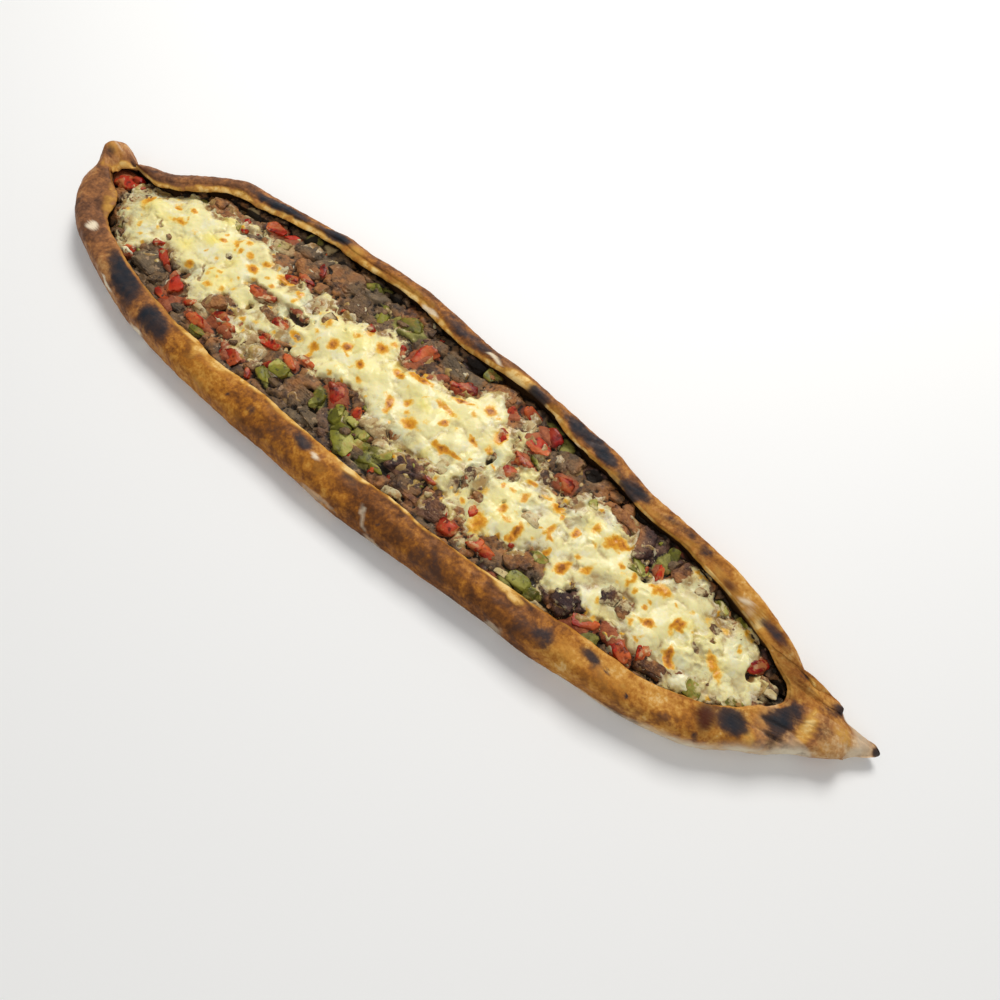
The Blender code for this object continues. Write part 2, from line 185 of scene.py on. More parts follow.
class Finish:
    """A material with a Principled shader, and short calls that add a node and return its output socket."""

    def __init__(self, name, **sockets):
        self.material = bpy.data.materials.new(name)
        self.material.use_nodes = True
        self.nodes = self.material.node_tree.nodes
        self.links = self.material.node_tree.links
        self.shader = self.nodes["Principled BSDF"]
        for key, value in sockets.items():
            self.shader.inputs[key.replace("_", " ")].default_value = value
        self.place = self.nodes.new("ShaderNodeTexCoord").outputs["Object"]

    def feed(self, socket, value):
        if isinstance(value, bpy.types.NodeSocket):
            self.links.new(value, socket)
        else:
            socket.default_value = value

    def noise(self, size, detail=3.0, roughness=0.55, stretch=None, distortion=0.0):
        """Noise between 0 and 1 whose lumps measure about size metres."""
        node = self.nodes.new("ShaderNodeTexNoise")
        node.inputs["Scale"].default_value = 0.6 / size
        node.inputs["Detail"].default_value = detail
        node.inputs["Roughness"].default_value = roughness
        node.inputs["Distortion"].default_value = distortion
        place = self.place
        if stretch:
            mapping = self.nodes.new("ShaderNodeMapping")
            mapping.inputs["Scale"].default_value = stretch
            self.links.new(place, mapping.inputs["Vector"])
            place = mapping.outputs["Vector"]
        self.links.new(place, node.inputs["Vector"])
        return node.outputs["Fac"]

    def cells(self, size, feature="F1", output="Distance"):
        """Distance to the nearest of scattered points that stand about size metres apart."""
        node = self.nodes.new("ShaderNodeTexVoronoi")
        node.feature = feature
        node.inputs["Scale"].default_value = 1.0 / size
        self.links.new(self.place, node.inputs["Vector"])
        return node.outputs[output]

    def number(self, name):
        """A per-point number stored on the mesh."""
        node = self.nodes.new("ShaderNodeAttribute")
        node.attribute_name = name
        return node.outputs["Fac"]

    def math(self, operation, a, b=0.0, clamp=False):
        node = self.nodes.new("ShaderNodeMath")
        node.operation = operation
        node.use_clamp = clamp
        self.feed(node.inputs[0], a)
        self.feed(node.inputs[1], b)
        return node.outputs[0]

    def remap(self, value, low, high, to_low=0.0, to_high=1.0):
        """Value taken from low..high to to_low..to_high, held at the ends."""
        node = self.nodes.new("ShaderNodeMapRange")
        node.interpolation_type = "SMOOTHSTEP"
        self.feed(node.inputs["Value"], value)
        for key, number in (("From Min", low), ("From Max", high), ("To Min", to_low), ("To Max", to_high)):
            node.inputs[key].default_value = number
        return node.outputs["Result"]

    def ramp(self, value, *stops):
        """Colour along (position, colour) stops."""
        node = self.nodes.new("ShaderNodeValToRGB")
        elements = node.color_ramp.elements
        while len(elements) < len(stops):
            elements.new(0.5)
        for element, (position, colour) in zip(elements, stops):
            element.position = position
            element.color = colour
        self.feed(node.inputs["Fac"], value)
        return node.outputs["Color"]

    def mix(self, share, a, b, kind="MIX"):
        """Colour a where share is 0 and colour b where it is 1."""
        node = self.nodes.new("ShaderNodeMix")
        node.data_type = "RGBA"
        node.blend_type = kind
        self.feed(node.inputs["Factor"], share)
        self.feed(node.inputs[6], a)
        self.feed(node.inputs[7], b)
        return node.outputs[2]

    def bump(self, height, distance, strength=1.0, after=None):
        node = self.nodes.new("ShaderNodeBump")
        node.inputs["Distance"].default_value = distance
        node.inputs["Strength"].default_value = strength
        self.links.new(height, node.inputs["Height"])
        if after:
            self.links.new(after, node.inputs["Normal"])
        return node.outputs["Normal"]

    def set(self, **sockets):
        for key, value in sockets.items():
            self.feed(self.shader.inputs[key.replace("_", " ")], value)


# %% [markdown]
# ## The outline of the loaf and of its opening
# Two closed curves drive the bread: the outer edge where it meets the table, and the lip that leans in over the
# filling. Boat builders write such curves as a table of distances from the middle line at even stations, and that
# is done here too, in millimetres. The knot on the left and the tail on the right are drawn point by point.

# %% The table of distances
STATIONS = np.arange(-223, 203, 25)
NEAR_EDGE = (-50.5, -58, -64, -67, -69, -70, -70, -69.5, -70, -70, -68.5, -66, -63.5, -61, -60, -56, -53, -46)
NEAR_LIP = (-31, -39, -44.5, -48, -49, -50.5, -48, -48, -49, -48.5, -46.5, -47, -45, -42.5, -40, -36.5, -34, -26)
FAR_LIP = (15, 35, 41.5, 46.5, 51, 52.5, 54, 53.5, 50, 49.5, 51, 49.5, 42.5, 40.5, 34.5, 33.5, 28.5, 22)
FAR_EDGE = (36.5, 53.5, 57.3, 60.7, 64.4, 65.4, 66.6, 68.2, 65.8, 62.4, 63, 60.2, 57.3, 55.4, 47.9, 46, 43.5, 37.9)
KNOT_NEAR = ((-282.5, 15), (-281, 7), (-275.5, -3), (-271, -18), (-262, -30), (-251, -39), (-239, -45))
KNOT_FAR = ((-237, 26), (-252, 20), (-260, 15.5), (-266.5, 16.5), (-273.5, 20.5), (-279.5, 20))
TAIL_NEAR = ((210, -43), (219, -38), (228, -31), (240, -23), (249, -15), (261, -7), (269, -1), (274, 5), (279, 9))
TAIL_FAR = ((282.5, 14), (279, 16), (270, 14.5), (263, 16.5), (257, 20), (250, 15), (243, 17.5), (226, 28.5), (216, 33))
OPENING_LEFT_NEAR = ((-261, -2), (-253, -7), (-241, -12), (-235, -19), (-231, -27))
OPENING_LEFT_FAR = ((-233, 10.5), (-243, 10.5), (-255, 10), (-260, 5))
OPENING_RIGHT_NEAR = ((211, -21), (219, -15), (225, -8), (230, -4))
OPENING_RIGHT_FAR = ((233, 3), (229, 9), (223, 12), (214, 17))


# %% Smooth closed curves through the table
def smooth_outline(points):
    """Closed cubic through 2D points: each span follows its end slopes, and shares of the length are even."""
    p = np.asarray(points, float)
    p = np.vstack([p[-2:], p, p[:3]])
    knots = np.concatenate([[0], np.cumsum(np.linalg.norm(np.diff(p, axis=0), axis=1) ** 0.8)])
    slopes = np.gradient(p, knots, axis=0)
    t = np.linspace(knots[2], knots[-3], 6000)
    i = np.clip(np.searchsorted(knots, t, side="right") - 1, 0, len(knots) - 2)
    step = (knots[i + 1] - knots[i])[:, None]
    u = (t[:, None] - knots[i][:, None]) / step
    fine = (2 * u**3 - 3 * u**2 + 1) * p[i] + (u**3 - 2 * u**2 + u) * step * slopes[i]
    fine += (3 * u**2 - 2 * u**3) * p[i + 1] + (u**3 - u**2) * step * slopes[i + 1]
    along = np.concatenate([[0], np.cumsum(np.linalg.norm(np.diff(fine, axis=0), axis=1))])
    along /= along[-1]

    def point(share):
        return np.stack([np.interp(share, along, fine[:, k]) for k in range(2)], axis=-1)

    return point, lambda xy: along[np.argmin(np.linalg.norm(fine - xy, axis=1))]


def loop_through(left_near, near, right_near, right_far, far, left_far):
    """The closed curve as a function of s: 0 at the left end, 1 at the right end, 2 back at the left end."""
    points = [*left_near, *zip(STATIONS, near), *right_near, *right_far, *zip(STATIONS[::-1], far[::-1]), *left_far]
    outline, share_at = smooth_outline(np.array(points) * MM)
    turn = share_at(np.array(right_far[0]) * MM)
    return lambda s: outline(np.where(s <= 1, s * turn, turn + (s - 1) * (1 - turn)))


edge_at = loop_through(KNOT_NEAR, NEAR_EDGE, TAIL_NEAR, TAIL_FAR, FAR_EDGE, KNOT_FAR)
lip_at = loop_through(OPENING_LEFT_NEAR, NEAR_LIP, OPENING_RIGHT_NEAR, OPENING_RIGHT_FAR, FAR_LIP, OPENING_LEFT_FAR)
dough_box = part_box("dough")
print("edge from", edge_at(np.linspace(0, 2, 900)).min(0).round(4), "and the packed dough from", dough_box[0])

# %% [markdown]
# ## The rim's section
# Cut across, the rim is a roll: flat underneath, bulging outwards low down, rounded over a crown about 18 mm high,
# and ending in a thin lip that overhangs the filling. The same fifteen control points are written for every rib at
# once and a smooth curve is run through them. The crown rises at the knot and falls away towards the tail.

# %% Ribs and crown
RIBS = 1040  # ribs round the whole loop
SECTION_POINTS = 86  # points along each section
FLOOR = 4.5 * MM
LIP_THICKNESS = 3.9 * MM  # from the crown down to the lip's underside
LIP_OVERHANG = 6.5 * MM
CROWN_NEAR = ((-282, 19), (-272, 21), (-250, 20), (-215, 18.5), (0, 18.5), (205, 18), (232, 17), (255, 15), (282, 7))
CROWN_FAR = ((-282, 19), (-272, 21), (-258, 17), (-245, 18), (-215, 18), (0, 18), (205, 18), (238, 17), (250, 14), (282, 7))

half_count = RIBS // 2
side_share = np.arange(half_count) / half_count
side_share = side_share - 0.5 * np.sin(2 * math.pi * side_share) / (2 * math.pi)
S = np.concatenate([side_share, 1 + side_share])
rib_edge, rib_lip = edge_at(S), lip_at(S)
lip_waver = 0.95 * MM * flat_rough(rib_lip[:, 0], rib_lip[:, 1], 13 * MM, 3, 3, 0.6)
rib_width = np.linalg.norm(rib_lip - rib_edge, axis=1)
inward = (rib_lip - rib_edge) / rib_width[:, None]
rib_lip = rib_lip + inward * lip_waver[:, None]
rib_width = rib_width + lip_waver
rise_at = np.minimum(0.62 * rib_width, 13 * MM)
wall_at = rib_width - LIP_OVERHANG


def crease(x, y, start, end, half_width):
    """1 on the line from start to end, fading as a bell curve of the given half width, all in millimetres."""
    a, b = np.array(start) * MM, np.array(end) * MM
    d = b - a
    along = np.clip(((x - a[0]) * d[0] + (y - a[1]) * d[1]) / (d @ d), 0, 1)
    away = np.hypot(x - a[0] - along * d[0], y - a[1] - along * d[1])
    return np.exp(-((away / (half_width * MM)) ** 2))


def crown_height(x, y, near):
    """Height of the rim's top: the side's own table, slow waves, the knot's lump and the creases round the folds."""
    height = np.where(near, np.interp(x / MM, *zip(*CROWN_NEAR)), np.interp(x / MM, *zip(*CROWN_FAR)))
    height = height + 0.9 * flat_rough(x, y, 26 * MM, 5, 3, 0.6)
    height += 3.6 * np.exp(-(((x / MM + 272) / 8.5) ** 2) - ((y / MM - 9) / 8.0) ** 2)
    height -= 5.0 * crease(x, y, (-258.5, 12.5), (-266, 21), 2.2)
    height -= 1.6 * crease(x, y, (-262, 2), (-268, 14), 1.2)
    height -= 1.5 * crease(x, y, (236, -10), (243, -27), 2.2) + 1.2 * crease(x, y, (243, 6), (247, 20), 2.0)
    height += 1.2 * crease(x, y, (226, 20), (240, 8), 3.0)
    return height * MM


def underside_lift(x):
    """The underside curls up off the table: most under the tail, a little under the knot."""
    x = x / MM
    return (np.clip((x - 190) / 90, 0, 1) ** 1.5 * 4.0 + np.clip((-x - 225) / 55, 0, 1) ** 1.5 * 3.0) * MM


# %% Sections to a fine surface
none = np.zeros(RIBS)
lip_rows = (  # distance in from the edge, share of the crown's height, added height, share of the underside's lift
    (15 * MM + none, 0, 0, 0),
    (0.42 * rise_at, 0, 0, 0.45),
    (0.12 * rise_at, 0.06, 0, 0.8),
    (none, 0.30, 0, 1.0),
    (0.08 * rise_at, 0.58, 0, 0.4),
    (0.34 * rise_at, 0.86, 0, 0),
    (0.9 * rise_at, 1, 0, 0),
    (0.45 * rise_at + 0.55 * (rib_width - 3.6 * MM), 1, -0.1 * MM, 0),
    (rib_width - 3.6 * MM, 1, -0.8 * MM, 0),
    (rib_width - 1.0 * MM, 1, -1.7 * MM, 0),
    (rib_width, 1, -2.6 * MM, 0),
    (rib_width - 0.7 * MM, 1, -3.3 * MM, 0),
    (rib_width - 3.0 * MM, 1, -3.9 * MM, 0),
    (wall_at, 0.5, 0.5 * (FLOOR - LIP_THICKNESS), 0),
    (wall_at + 1.2 * MM, 0, FLOOR, 0),
)


def through_rows(rows, count, spread):
    """Catmull-Rom curve through the rows: each point blends four neighbouring rows; spread says where points crowd."""
    rows = np.asarray(rows)
    t = np.interp(np.linspace(0, 1, count), np.linspace(0, 1, len(spread)), np.cumsum(spread) - spread[0])
    t = t / t[-1] * (len(rows) - 1)
    i = np.clip(t.astype(int), 0, len(rows) - 2)
    u = (t - i)[:, None, None]
    p0, p1, p2, p3 = (rows[np.clip(i + k, 0, len(rows) - 1)] for k in (-1, 0, 1, 2))
    return 0.5 * (2 * p1 + (p2 - p0) * u + (2 * p0 - 5 * p1 + 4 * p2 - p3) * u**2 + (3 * p1 - p0 - 3 * p2 + p3) * u**3)


is_near = S <= 1
control = []
for inset, share, added, lifted in lip_rows:
    xy = rib_edge + inward * inset[:, None]
    z = share * crown_height(xy[:, 0], xy[:, 1], is_near) + added + lifted * underside_lift(rib_edge[:, 0])
    control.append(np.column_stack([inset, z]))
spread = np.array([1.0, 1.0, 0.9, 0.8, 0.8, 0.8, 0.8, 0.8, 1.0, 1.4, 1.4, 1.5, 1.5, 1.5, 1.5])
section = through_rows(control, SECTION_POINTS, spread)
inset, z = section[..., 0], section[..., 1]
x = rib_edge[:, 0] + inward[:, 0] * inset
y = rib_edge[:, 1] + inward[:, 1] * inset
row_share = np.linspace(0, 1, SECTION_POINTS)[:, None] + 0 * x
print("crown up to", round(float(z.max() / MM), 1), "mm")


# %% [markdown]
# ## Lumps, wrinkles and a closed skin
# Dough is never smooth: it has slow swellings, thumb-sized dents and fine wrinkles. The section's points are moved
# along their own normals by noise of three sizes. The underside stays flat on the table. The open loops under the
# loaf and on its floor are closed by faces that run straight across.


# %% Roughen the bread and make its mesh
def grid_normals(points, wrap):
    """Unit cross product of the step along a row with the step down a column, at every grid point."""
    along = np.roll(points, -1, 1) - np.roll(points, 1, 1) if wrap else np.gradient(points, axis=1)
    normal = np.cross(along, np.gradient(points, axis=0))
    return normal / np.maximum(np.linalg.norm(normal, axis=-1, keepdims=True), 1e-12)


dome_r = np.abs((x / MM - 250) / 20.5) ** 2.6 + np.abs((y / MM - 3) / 13.5) ** 2.6
dome = 17.4 * MM * np.clip(1 - dome_r, 0, 1) ** 0.36
on_top = smooth_step(0.30, 0.55, z / np.maximum(crown_height(x, y, is_near), 1 * MM)) * smooth_step(233, 244, x / MM)
z = z + on_top * np.maximum(dome - z, 0)
skin = np.stack([x, y, z], axis=-1)
free = smooth_step(0.5 * MM, 4 * MM, z - underside_lift(x) * 0.8)
swell = 0.75 * rough(skin, 26 * MM, 11, 2) + 0.5 * rough(skin, 9 * MM, 12, 3, 0.6)
wrinkle = 1 - np.abs(rough(skin * np.array([1.0, 1.7, 1.3]), 7 * MM, 13, 3, 0.6))
swell += 0.9 * (wrinkle - 0.8) * smooth_step(-0.3, 0.5, rough(skin, 30 * MM, 14, 2) + 0.15)
swell += 0.10 * rough(skin, 2.2 * MM, 15, 2)
nub = np.array([255.5, 16.0, 13.0]) * MM
swell += 3.4 * np.exp(-(np.linalg.norm((skin - nub) * np.array([1.0, 0.8, 0.8]), axis=-1) / (2.6 * MM)) ** 2)
skin = skin + grid_normals(skin, True) * (swell * free * MM)[..., None]
skin[..., 0] = np.clip(skin[..., 0], dough_box[0][0], dough_box[1][0])
skin[..., 2] = np.maximum(skin[..., 2], 0)
x, y, z = skin[..., 0], skin[..., 1], skin[..., 2]
loop_low, loop_high = np.arange(RIBS), np.arange(RIBS) + (SECTION_POINTS - 1) * RIBS
low_quads, low_ends = across(loop_low)
bread_faces = [np.vstack([grid_faces(SECTION_POINTS, RIBS, True), low_quads[:, ::-1], across(loop_high)[0]])]
bread_faces.append(np.vstack([low_ends[:, ::-1], across(loop_high)[1]]))
print("bread reaches", skin.reshape(-1, 3).min(0).round(4), skin.reshape(-1, 3).max(0).round(4))

# %% [markdown]
# ## Where the oven browned, burnt and spared the crust
# A stone oven colours a pide unevenly: gold where the lip stretches thin, red-brown along the roll, blue-black where
# the crust touched the flame, and white where flour still clings. Each is a table of ovals laid out in plan, with
# half lengths in millimetres, a turn in degrees and a strength. Noise bends the plan first, so no edge is round. The
# gold band along the lip is partly that baked colour and partly a painted highlight along the near lip's crest.

# %% Tables of marks on the crust
SCORCH_MARKS = (
    (-186, -49.5, 19, 5.2, -20, 0.96), (-178, -52.5, 9, 5, -15, 0.85), (-184, -50, 24, 8.5, -19, 0.35),
    (-149, -57, 8, 6.5, 0, 0.96), (-142, -58, 6, 5.5, 0, 0.55), (-140, -59, 13, 8, 0, 0.35), (-80.5, -60.5, 1.6, 1.6, 0, 0.6),
    (-63.5, -59.5, 2.8, 2.8, 0, 0.6), (-43, -63, 12, 7, 0, 0.3), (-20, -64, 12, 5, 0, 0.14), (-27.5, -54.5, 5, 3, 0, 0.72),
    (-29, -54, 9, 6, 0, 0.35), (4, -53, 7, 3, 0, 0.4), (32.5, -62.5, 1.1, 1.1, 0, 0.9), (64, -60, 9, 6, 0, 0.24),
    (60, -60, 15, 9, 0, 0.16), (47, -55, 6, 4, 0, 0.3), (78, -56, 12, 5, 0, 0.15), (107, -51, 12, 5, 0, 0.3),
    (131, -51, 4.5, 5, 0, 0.6), (129, -52, 9, 8, 0, 0.25), (119, -53, 8, 5, 0, 0.25), (154, -43.5, 4, 2.6, 0, 0.62),
    (154, -43.5, 7, 5, 0, 0.38), (163.5, -44.5, 1.8, 1.3, 30, 0.75), (175.5, -47, 1.1, 1.1, 0, 0.7),
    (182.5, -42.5, 1.8, 1.4, 0, 0.4), (176, -53, 7, 3, 0, 0.35), (187, -49, 8, 4, 0, 0.3), (197, -43, 7, 3, 0, 0.3),
    (210, -40, 2, 1.4, 0, 0.5), (219.5, -22, 6.2, 5.6, 25, 1), (215, -24, 9, 7, 25, 0.4),
    (237, -5, 4.6, 8, -12, 0.8), (237, -16, 3, 5, 10, 0.6), (232, -10, 5, 3, 20, 0.55), (237, -8, 8, 12, 0, 0.35),
    (256, 16.5, 3, 2, 0, 0.62), (254, 14, 5, 3.4, 0, 0.4), (252, 10, 8, 4, 0, 0.3), (253.5, 1, 3.4, 4.5, 0, 0.5), (259, 2, 2.4, 2, 0, 0.3),
    (254, -9, 5, 4, 0, 0.25), (281.5, 13.4, 2.6, 2.6, 0, 0.8), (-268, 5.5, 4, 3.6, 0, 0.42), (-258.5, 12.5, 2.5, 1.6, 0, 0.5),
    (-240, 15, 4.6, 2.6, 20, 0.52), (-228, 23, 6, 3, 30, 0.36), (-207, 36, 12, 3.5, 40, 0.15), (-170, 49, 12, 2.4, 7, 0.88),
    (-155, 52, 11, 2.6, 9, 0.92), (-165, 50.5, 24, 4.4, 9, 0.42), (-140, 54, 9, 2.6, 6, 0.4), (-119, 57, 10, 2.6, 4, 0.8),
    (-122, 57, 13, 4, 4, 0.4), (-90, 59, 10, 3, 0, 0.25), (-57, 60, 12, 2.6, 0, 0.25), (-21, 57, 15, 3.8, -6, 0.5),
    (-10, 55.5, 12, 4, 0, 0.3), (3, 55, 9, 4, 0, 0.36), (14, 56.5, 11, 2, 0, 0.3), (44, 52.2, 5.2, 2.6, 0, 0.72),
    (42, 52, 8, 4, 0, 0.35), (72, 51, 11, 2.6, -12, 0.62), (91, 47.5, 10, 3.4, -9, 0.86), (83, 49, 23, 5, -10, 0.42),
    (119, 40.5, 7.5, 3.2, 0, 0.82), (116, 41.5, 12, 5, 0, 0.42), (119, 36.5, 2, 2, 0, 0.85), (150, 40, 14, 2.6, 0, 0.4),
    (165, 37, 4.5, 2.6, 0, 0.55), (140, 38.5, 6, 3, 0, 0.35), (184, 32.5, 4, 3, 0, 0.3), (213, 25.5, 9, 2.6, -12, 0.6),
    (226, 20, 6, 3, -30, 0.2), (234.5, 16.5, 1.3, 1.3, 0, 0.6),
)
RED_MARKS = (
    (208.5, -30, 5, 7.5, 0, 1), (208, -31, 4, 6, 0, 0.8), (215, 25, 7, 3.4, -20, 1), (184, 31, 4, 3, 0, 0.8), (-248.5, 11.5, 5, 3, 0, 0.4),
    (-243, 14, 5, 3, 20, 0.4), (234.5, 2, 6, 3, -30, 0.4), (-26.5, -54, 5, 3.5, 0, 0.5), (166, 36, 5, 4, 0, 0.3),
    (228, 14.5, 14, 8, -25, 0.35), (197, 26, 12, 5, 0, 0.35),
)
FLOUR_MARKS = (
    (-228.5, -38.5, 3, 3.2, 8, 1), (-40, 54.5, 6, 1.4, -8, 0.8), (9.5, 53.6, 5.5, 1.1, 0, 1), (-17.5, -56.5, 3, 1, -14, 0.85),
    (194, 29.5, 3, 1, 30, 0.8), (197.5, 27, 1, 3, 20, 0.35), (-192, -57.5, 7, 0.9, -14, 1), (-160, -66.5, 9, 0.9, -3, 1),
    (78, 42, 2.5, 0.8, -10, 0.5), (22, -61, 0.8, 3, 15, 0.5), (25, -66, 0.9, 3.4, 35, 0.6), (34, -68.5, 6, 0.8, 8, 0.5),
    (-4, -70, 12, 1, 0, 0.35), (102.5, -62, 10, 0.8, 6, 0.4), (-270, 12.5, 5, 0.9, -6, 0.3), (272, 6, 2, 4, -20, 0.5),
)
GOLD_MARKS = (
    (-240.5, -15, 5, 6, -40, 0.5), (-235.5, -22.5, 4, 4, -40, 0.5), (-245.5, -10, 6, 2.5, -20, 0.5),
    (-107.5, -53, 14, 3, 0, 0.6), (-95, -53.5, 10, 3.5, 0, 0.4), (-114, -52, 2, 6, 15, 0.7),
    (-102.5, -62, 16, 6, 0, 0.3), (-98, -67, 8, 4, 0, 0.35), (-73, -67, 8, 4, 0, 0.3), (-57.5, -54, 6, 3, 0, 0.25),
    (-13, -60, 12, 4, 0, 0.3), (-3, -52, 10, 3, 0, 0.4), (-48, -50, 10, 2.5, 0, 0.4), (102, -44, 8, 2.5, 5, 0.8),
    (110, -45, 5, 2, 5, 0.6), (142, -48, 10, 5, 0, 0.5), (148, -58, 12, 3, 0, 0.4), (167, -44, 14, 4, 5, 0.45),
    (167, -52, 12, 4, 5, 0.25), (192, -38, 10, 4, 10, 0.3), (196, 29, 14, 4, -12, 0.5), (186, 26, 8, 2, -20, 0.6),
    (-57.5, 56.5, 20, 5, 0, 0.55), (-42.5, 53.5, 10, 3, 0, 0.6), (-102.5, 56.5, 8, 5, 0, 0.5),
    (-138, 54, 8, 4, 0, 0.4), (30, 53, 12, 4, 0, 1), (57, 50.5, 5, 3, 0, 0.4), (104, 42, 5, 2.5, 0, 0.5),
    (132, 38, 9, 2.5, 0, 0.5), (157, 36, 8, 3, 0, 0.4), (177, 33, 7, 3, 0, 0.4), (207, 22, 12, 4, -15, 0.4),
    (224.5, 11.5, 12, 4, -35, 0.4), (263, 6, 6, 5, 0, 0.75), (246.5, -1, 3.6, 10, 0, 0.9), (258, -4, 3, 3, 0, 0.6), (228, -24, 6, 3, -35, 0.6), (205, 24, 2, 6, 15, 0.9), (241, 15, 5, 1.4, -25, 0.9), (-267.5, 9, 6, 4, 0, 0.55),
    (-264, -1.5, 3, 4, -60, 0.6), (228.5, -11.5, 6, 6, 0, 0.45), (224.5, -27.5, 8, 5, 30, 0.3),
)
NEAR_TOAST = ((-280, 0.36), (-262, 0.54), (-250, 0.62), (-225, 0.57), (-200, 0.44), (-170, 0.5), (-140, 0.54), (-120, 0.48),
    (-100, 0.44), (-80, 0.50), (-60, 0.52), (-40, 0.57), (-20, 0.48), (0, 0.44), (20, 0.74), (40, 0.68), (60, 0.6),
    (85, 0.6), (110, 0.8), (130, 0.56), (148, 0.3), (170, 0.4), (190, 0.3), (210, 0.36), (235, 0.42), (255, 0.3), (275, 0.2))
FAR_TOAST = ((-280, 0.26), (-265, 0.46), (-250, 0.62), (-230, 0.62), (-200, 0.64), (-150, 0.6), (-130, 0.5), (-100, 0.52),
    (-80, 0.58), (-50, 0.64), (-20, 0.66), (10, 0.54), (30, 0.54), (60, 0.5), (90, 0.56), (120, 0.5), (150, 0.42),
    (180, 0.34), (200, 0.28), (215, 0.36), (232, 0.3), (250, 0.42), (265, 0.4))
NEAR_DULL = ((-280, 0.8), (-240, 0.95), (-205, 0.8), (-170, 0.6), (-140, 0.35), (-120, 0), (225, 0.1), (245, 0.75), (275, 0.95))
FAR_DULL = ((-280, 0.9), (-230, 0.9), (-190, 0.7), (-130, 0.3), (-60, 0.2), (0, 0.35), (60, 0.3), (90, 0.4), (150, 0.3),
    (200, 0.05), (280, 0.4))

# %% Numbers for the crust's finish
bent_x = x + 2.2 * MM * rough(skin, 9 * MM, 21, 3, 0.6)
bent_y = y + 2.2 * MM * rough(skin, 9 * MM, 22, 3, 0.6)
near_row = is_near[None, :] & np.ones_like(x, bool)
toast = np.where(near_row, np.interp(x / MM, *zip(*NEAR_TOAST)), np.interp(x / MM, *zip(*FAR_TOAST)))
dull = np.where(near_row, np.interp(x / MM, *zip(*NEAR_DULL)), np.interp(x / MM, *zip(*FAR_DULL)))
lip_band = np.where(near_row, 4.2, 5.2) * MM * (1 + 0.5 * rough(skin, 16 * MM, 24, 2))
lip_share = smooth_step(0, 1, (inset - (rib_width - lip_band)) / (3.4 * MM))
beyond_lip = np.argmax(inset * (row_share > 0.4), axis=0)[None, :] <= np.arange(SECTION_POINTS)[:, None]
# inside: painted shade on the inner wall under the lip, where the lip's shadow falls on it
inside = beyond_lip * smooth_step(14.5 * MM, 11 * MM, z)
# Strength of the lip's gold along the near side: baked gold of the thin lip, raised to full where a painted highlight
# runs along the near lip's crest
NEAR_CREST_GOLD_AND_HIGHLIGHT = ((-280, 0.5), (-205, 0.55), (-140, 0.6), (-130, 1.0), (72, 1.0), (80, 0.6), (98, 1.0), (114, 0.9), (126, 0.5),
    (150, 0.75), (200, 0.65), (240, 0.3))
crest_gold_and_highlight = np.interp(x / MM, *zip(*NEAR_CREST_GOLD_AND_HIGHLIGHT))
lip_gold_and_highlight = np.where(near_row, crest_gold_and_highlight, 1.0) * lip_share * (0.75 + 0.6 * rough(skin, 11 * MM, 23, 3, 0.6))
gold = np.clip(np.maximum(lip_gold_and_highlight, spots(bent_x, bent_y, GOLD_MARKS, 0.6) * (z > 4 * MM)), 0, 1)
scorch = spots(bent_x, bent_y, SCORCH_MARKS, 0.75) * (1 - 0.85 * lip_share * near_row)
red = spots(bent_x, bent_y, RED_MARKS, 0.5)
flour = spots(bent_x, bent_y, FLOUR_MARKS, 0.3)
tail_band = 1.2 * MM + np.where(near_row, 8.6, 3.5) * MM * smooth_step(135 * MM, 205 * MM, x)
tail_band += np.where(near_row, 3.2, 0) * MM * smooth_step(205 * MM, 236 * MM, x)
pale = 1 - smooth_step(tail_band * 0.7, tail_band * 1.4, z - underside_lift(x) * 0.6)
pale = pale * (1 - smooth_step(0.95, 0.75, dome_r)) + smooth_step(0.8, 1.0, dome_r) * smooth_step(258 * MM, 264 * MM, x)
pale = np.clip(pale, 0, 1) * (1 - 0.42 * smooth_step(250 * MM, 266 * MM, x))
crust_numbers = {"toast": toast, "dull": dull, "gold": gold, "scorch": scorch, "red": red, "flour": flour, "pale": pale,
                 "inside": inside}
bread = new_piece("bread", skin, bread_faces, **crust_numbers)
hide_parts("dough")

# %% [markdown]
# ## The crust's finish
# Two colour ramps run from pale dough to dark brown: a golden one and a duller, redder one for the ends, where the
# dough is thick. Noise of two sizes pushes the browning up and down, so the colour is mottled the way a baked
# crust is. Scorching is a third ramp that passes through purple-brown to the blue-black of burnt starch.

# %% Crust material
crust = Finish("baked_crust", Specular_IOR_Level=0.14)
blotch, patch, fleck = crust.noise(9 * MM, 4, 0.6, distortion=0.6), crust.noise(3.2 * MM, 4, 0.65), crust.noise(1.1 * MM, 3, 0.6)
level = crust.math("ADD", crust.number("toast"), crust.remap(blotch, 0.36, 0.64, -0.14, 0.15))
level = crust.math("ADD", level, crust.remap(patch, 0.36, 0.66, -0.09, 0.11))
level = crust.math("ADD", level, crust.remap(fleck, 0.35, 0.68, -0.06, 0.09))
golden = crust.ramp(level, (0.0, ink(228, 194, 130)), (0.2, ink(208, 150, 64)), (0.42, ink(174, 110, 34)),
                    (0.6, ink(134, 80, 28)), (0.78, ink(100, 58, 25)), (1.0, ink(66, 40, 24)))
dusky = crust.ramp(level, (0.0, ink(220, 188, 144)), (0.2, ink(194, 146, 94)), (0.42, ink(164, 110, 68)),
                   (0.6, ink(132, 88, 58)), (0.78, ink(102, 68, 48)), (1.0, ink(68, 47, 38)))
colour = crust.mix(crust.number("dull"), golden, dusky)
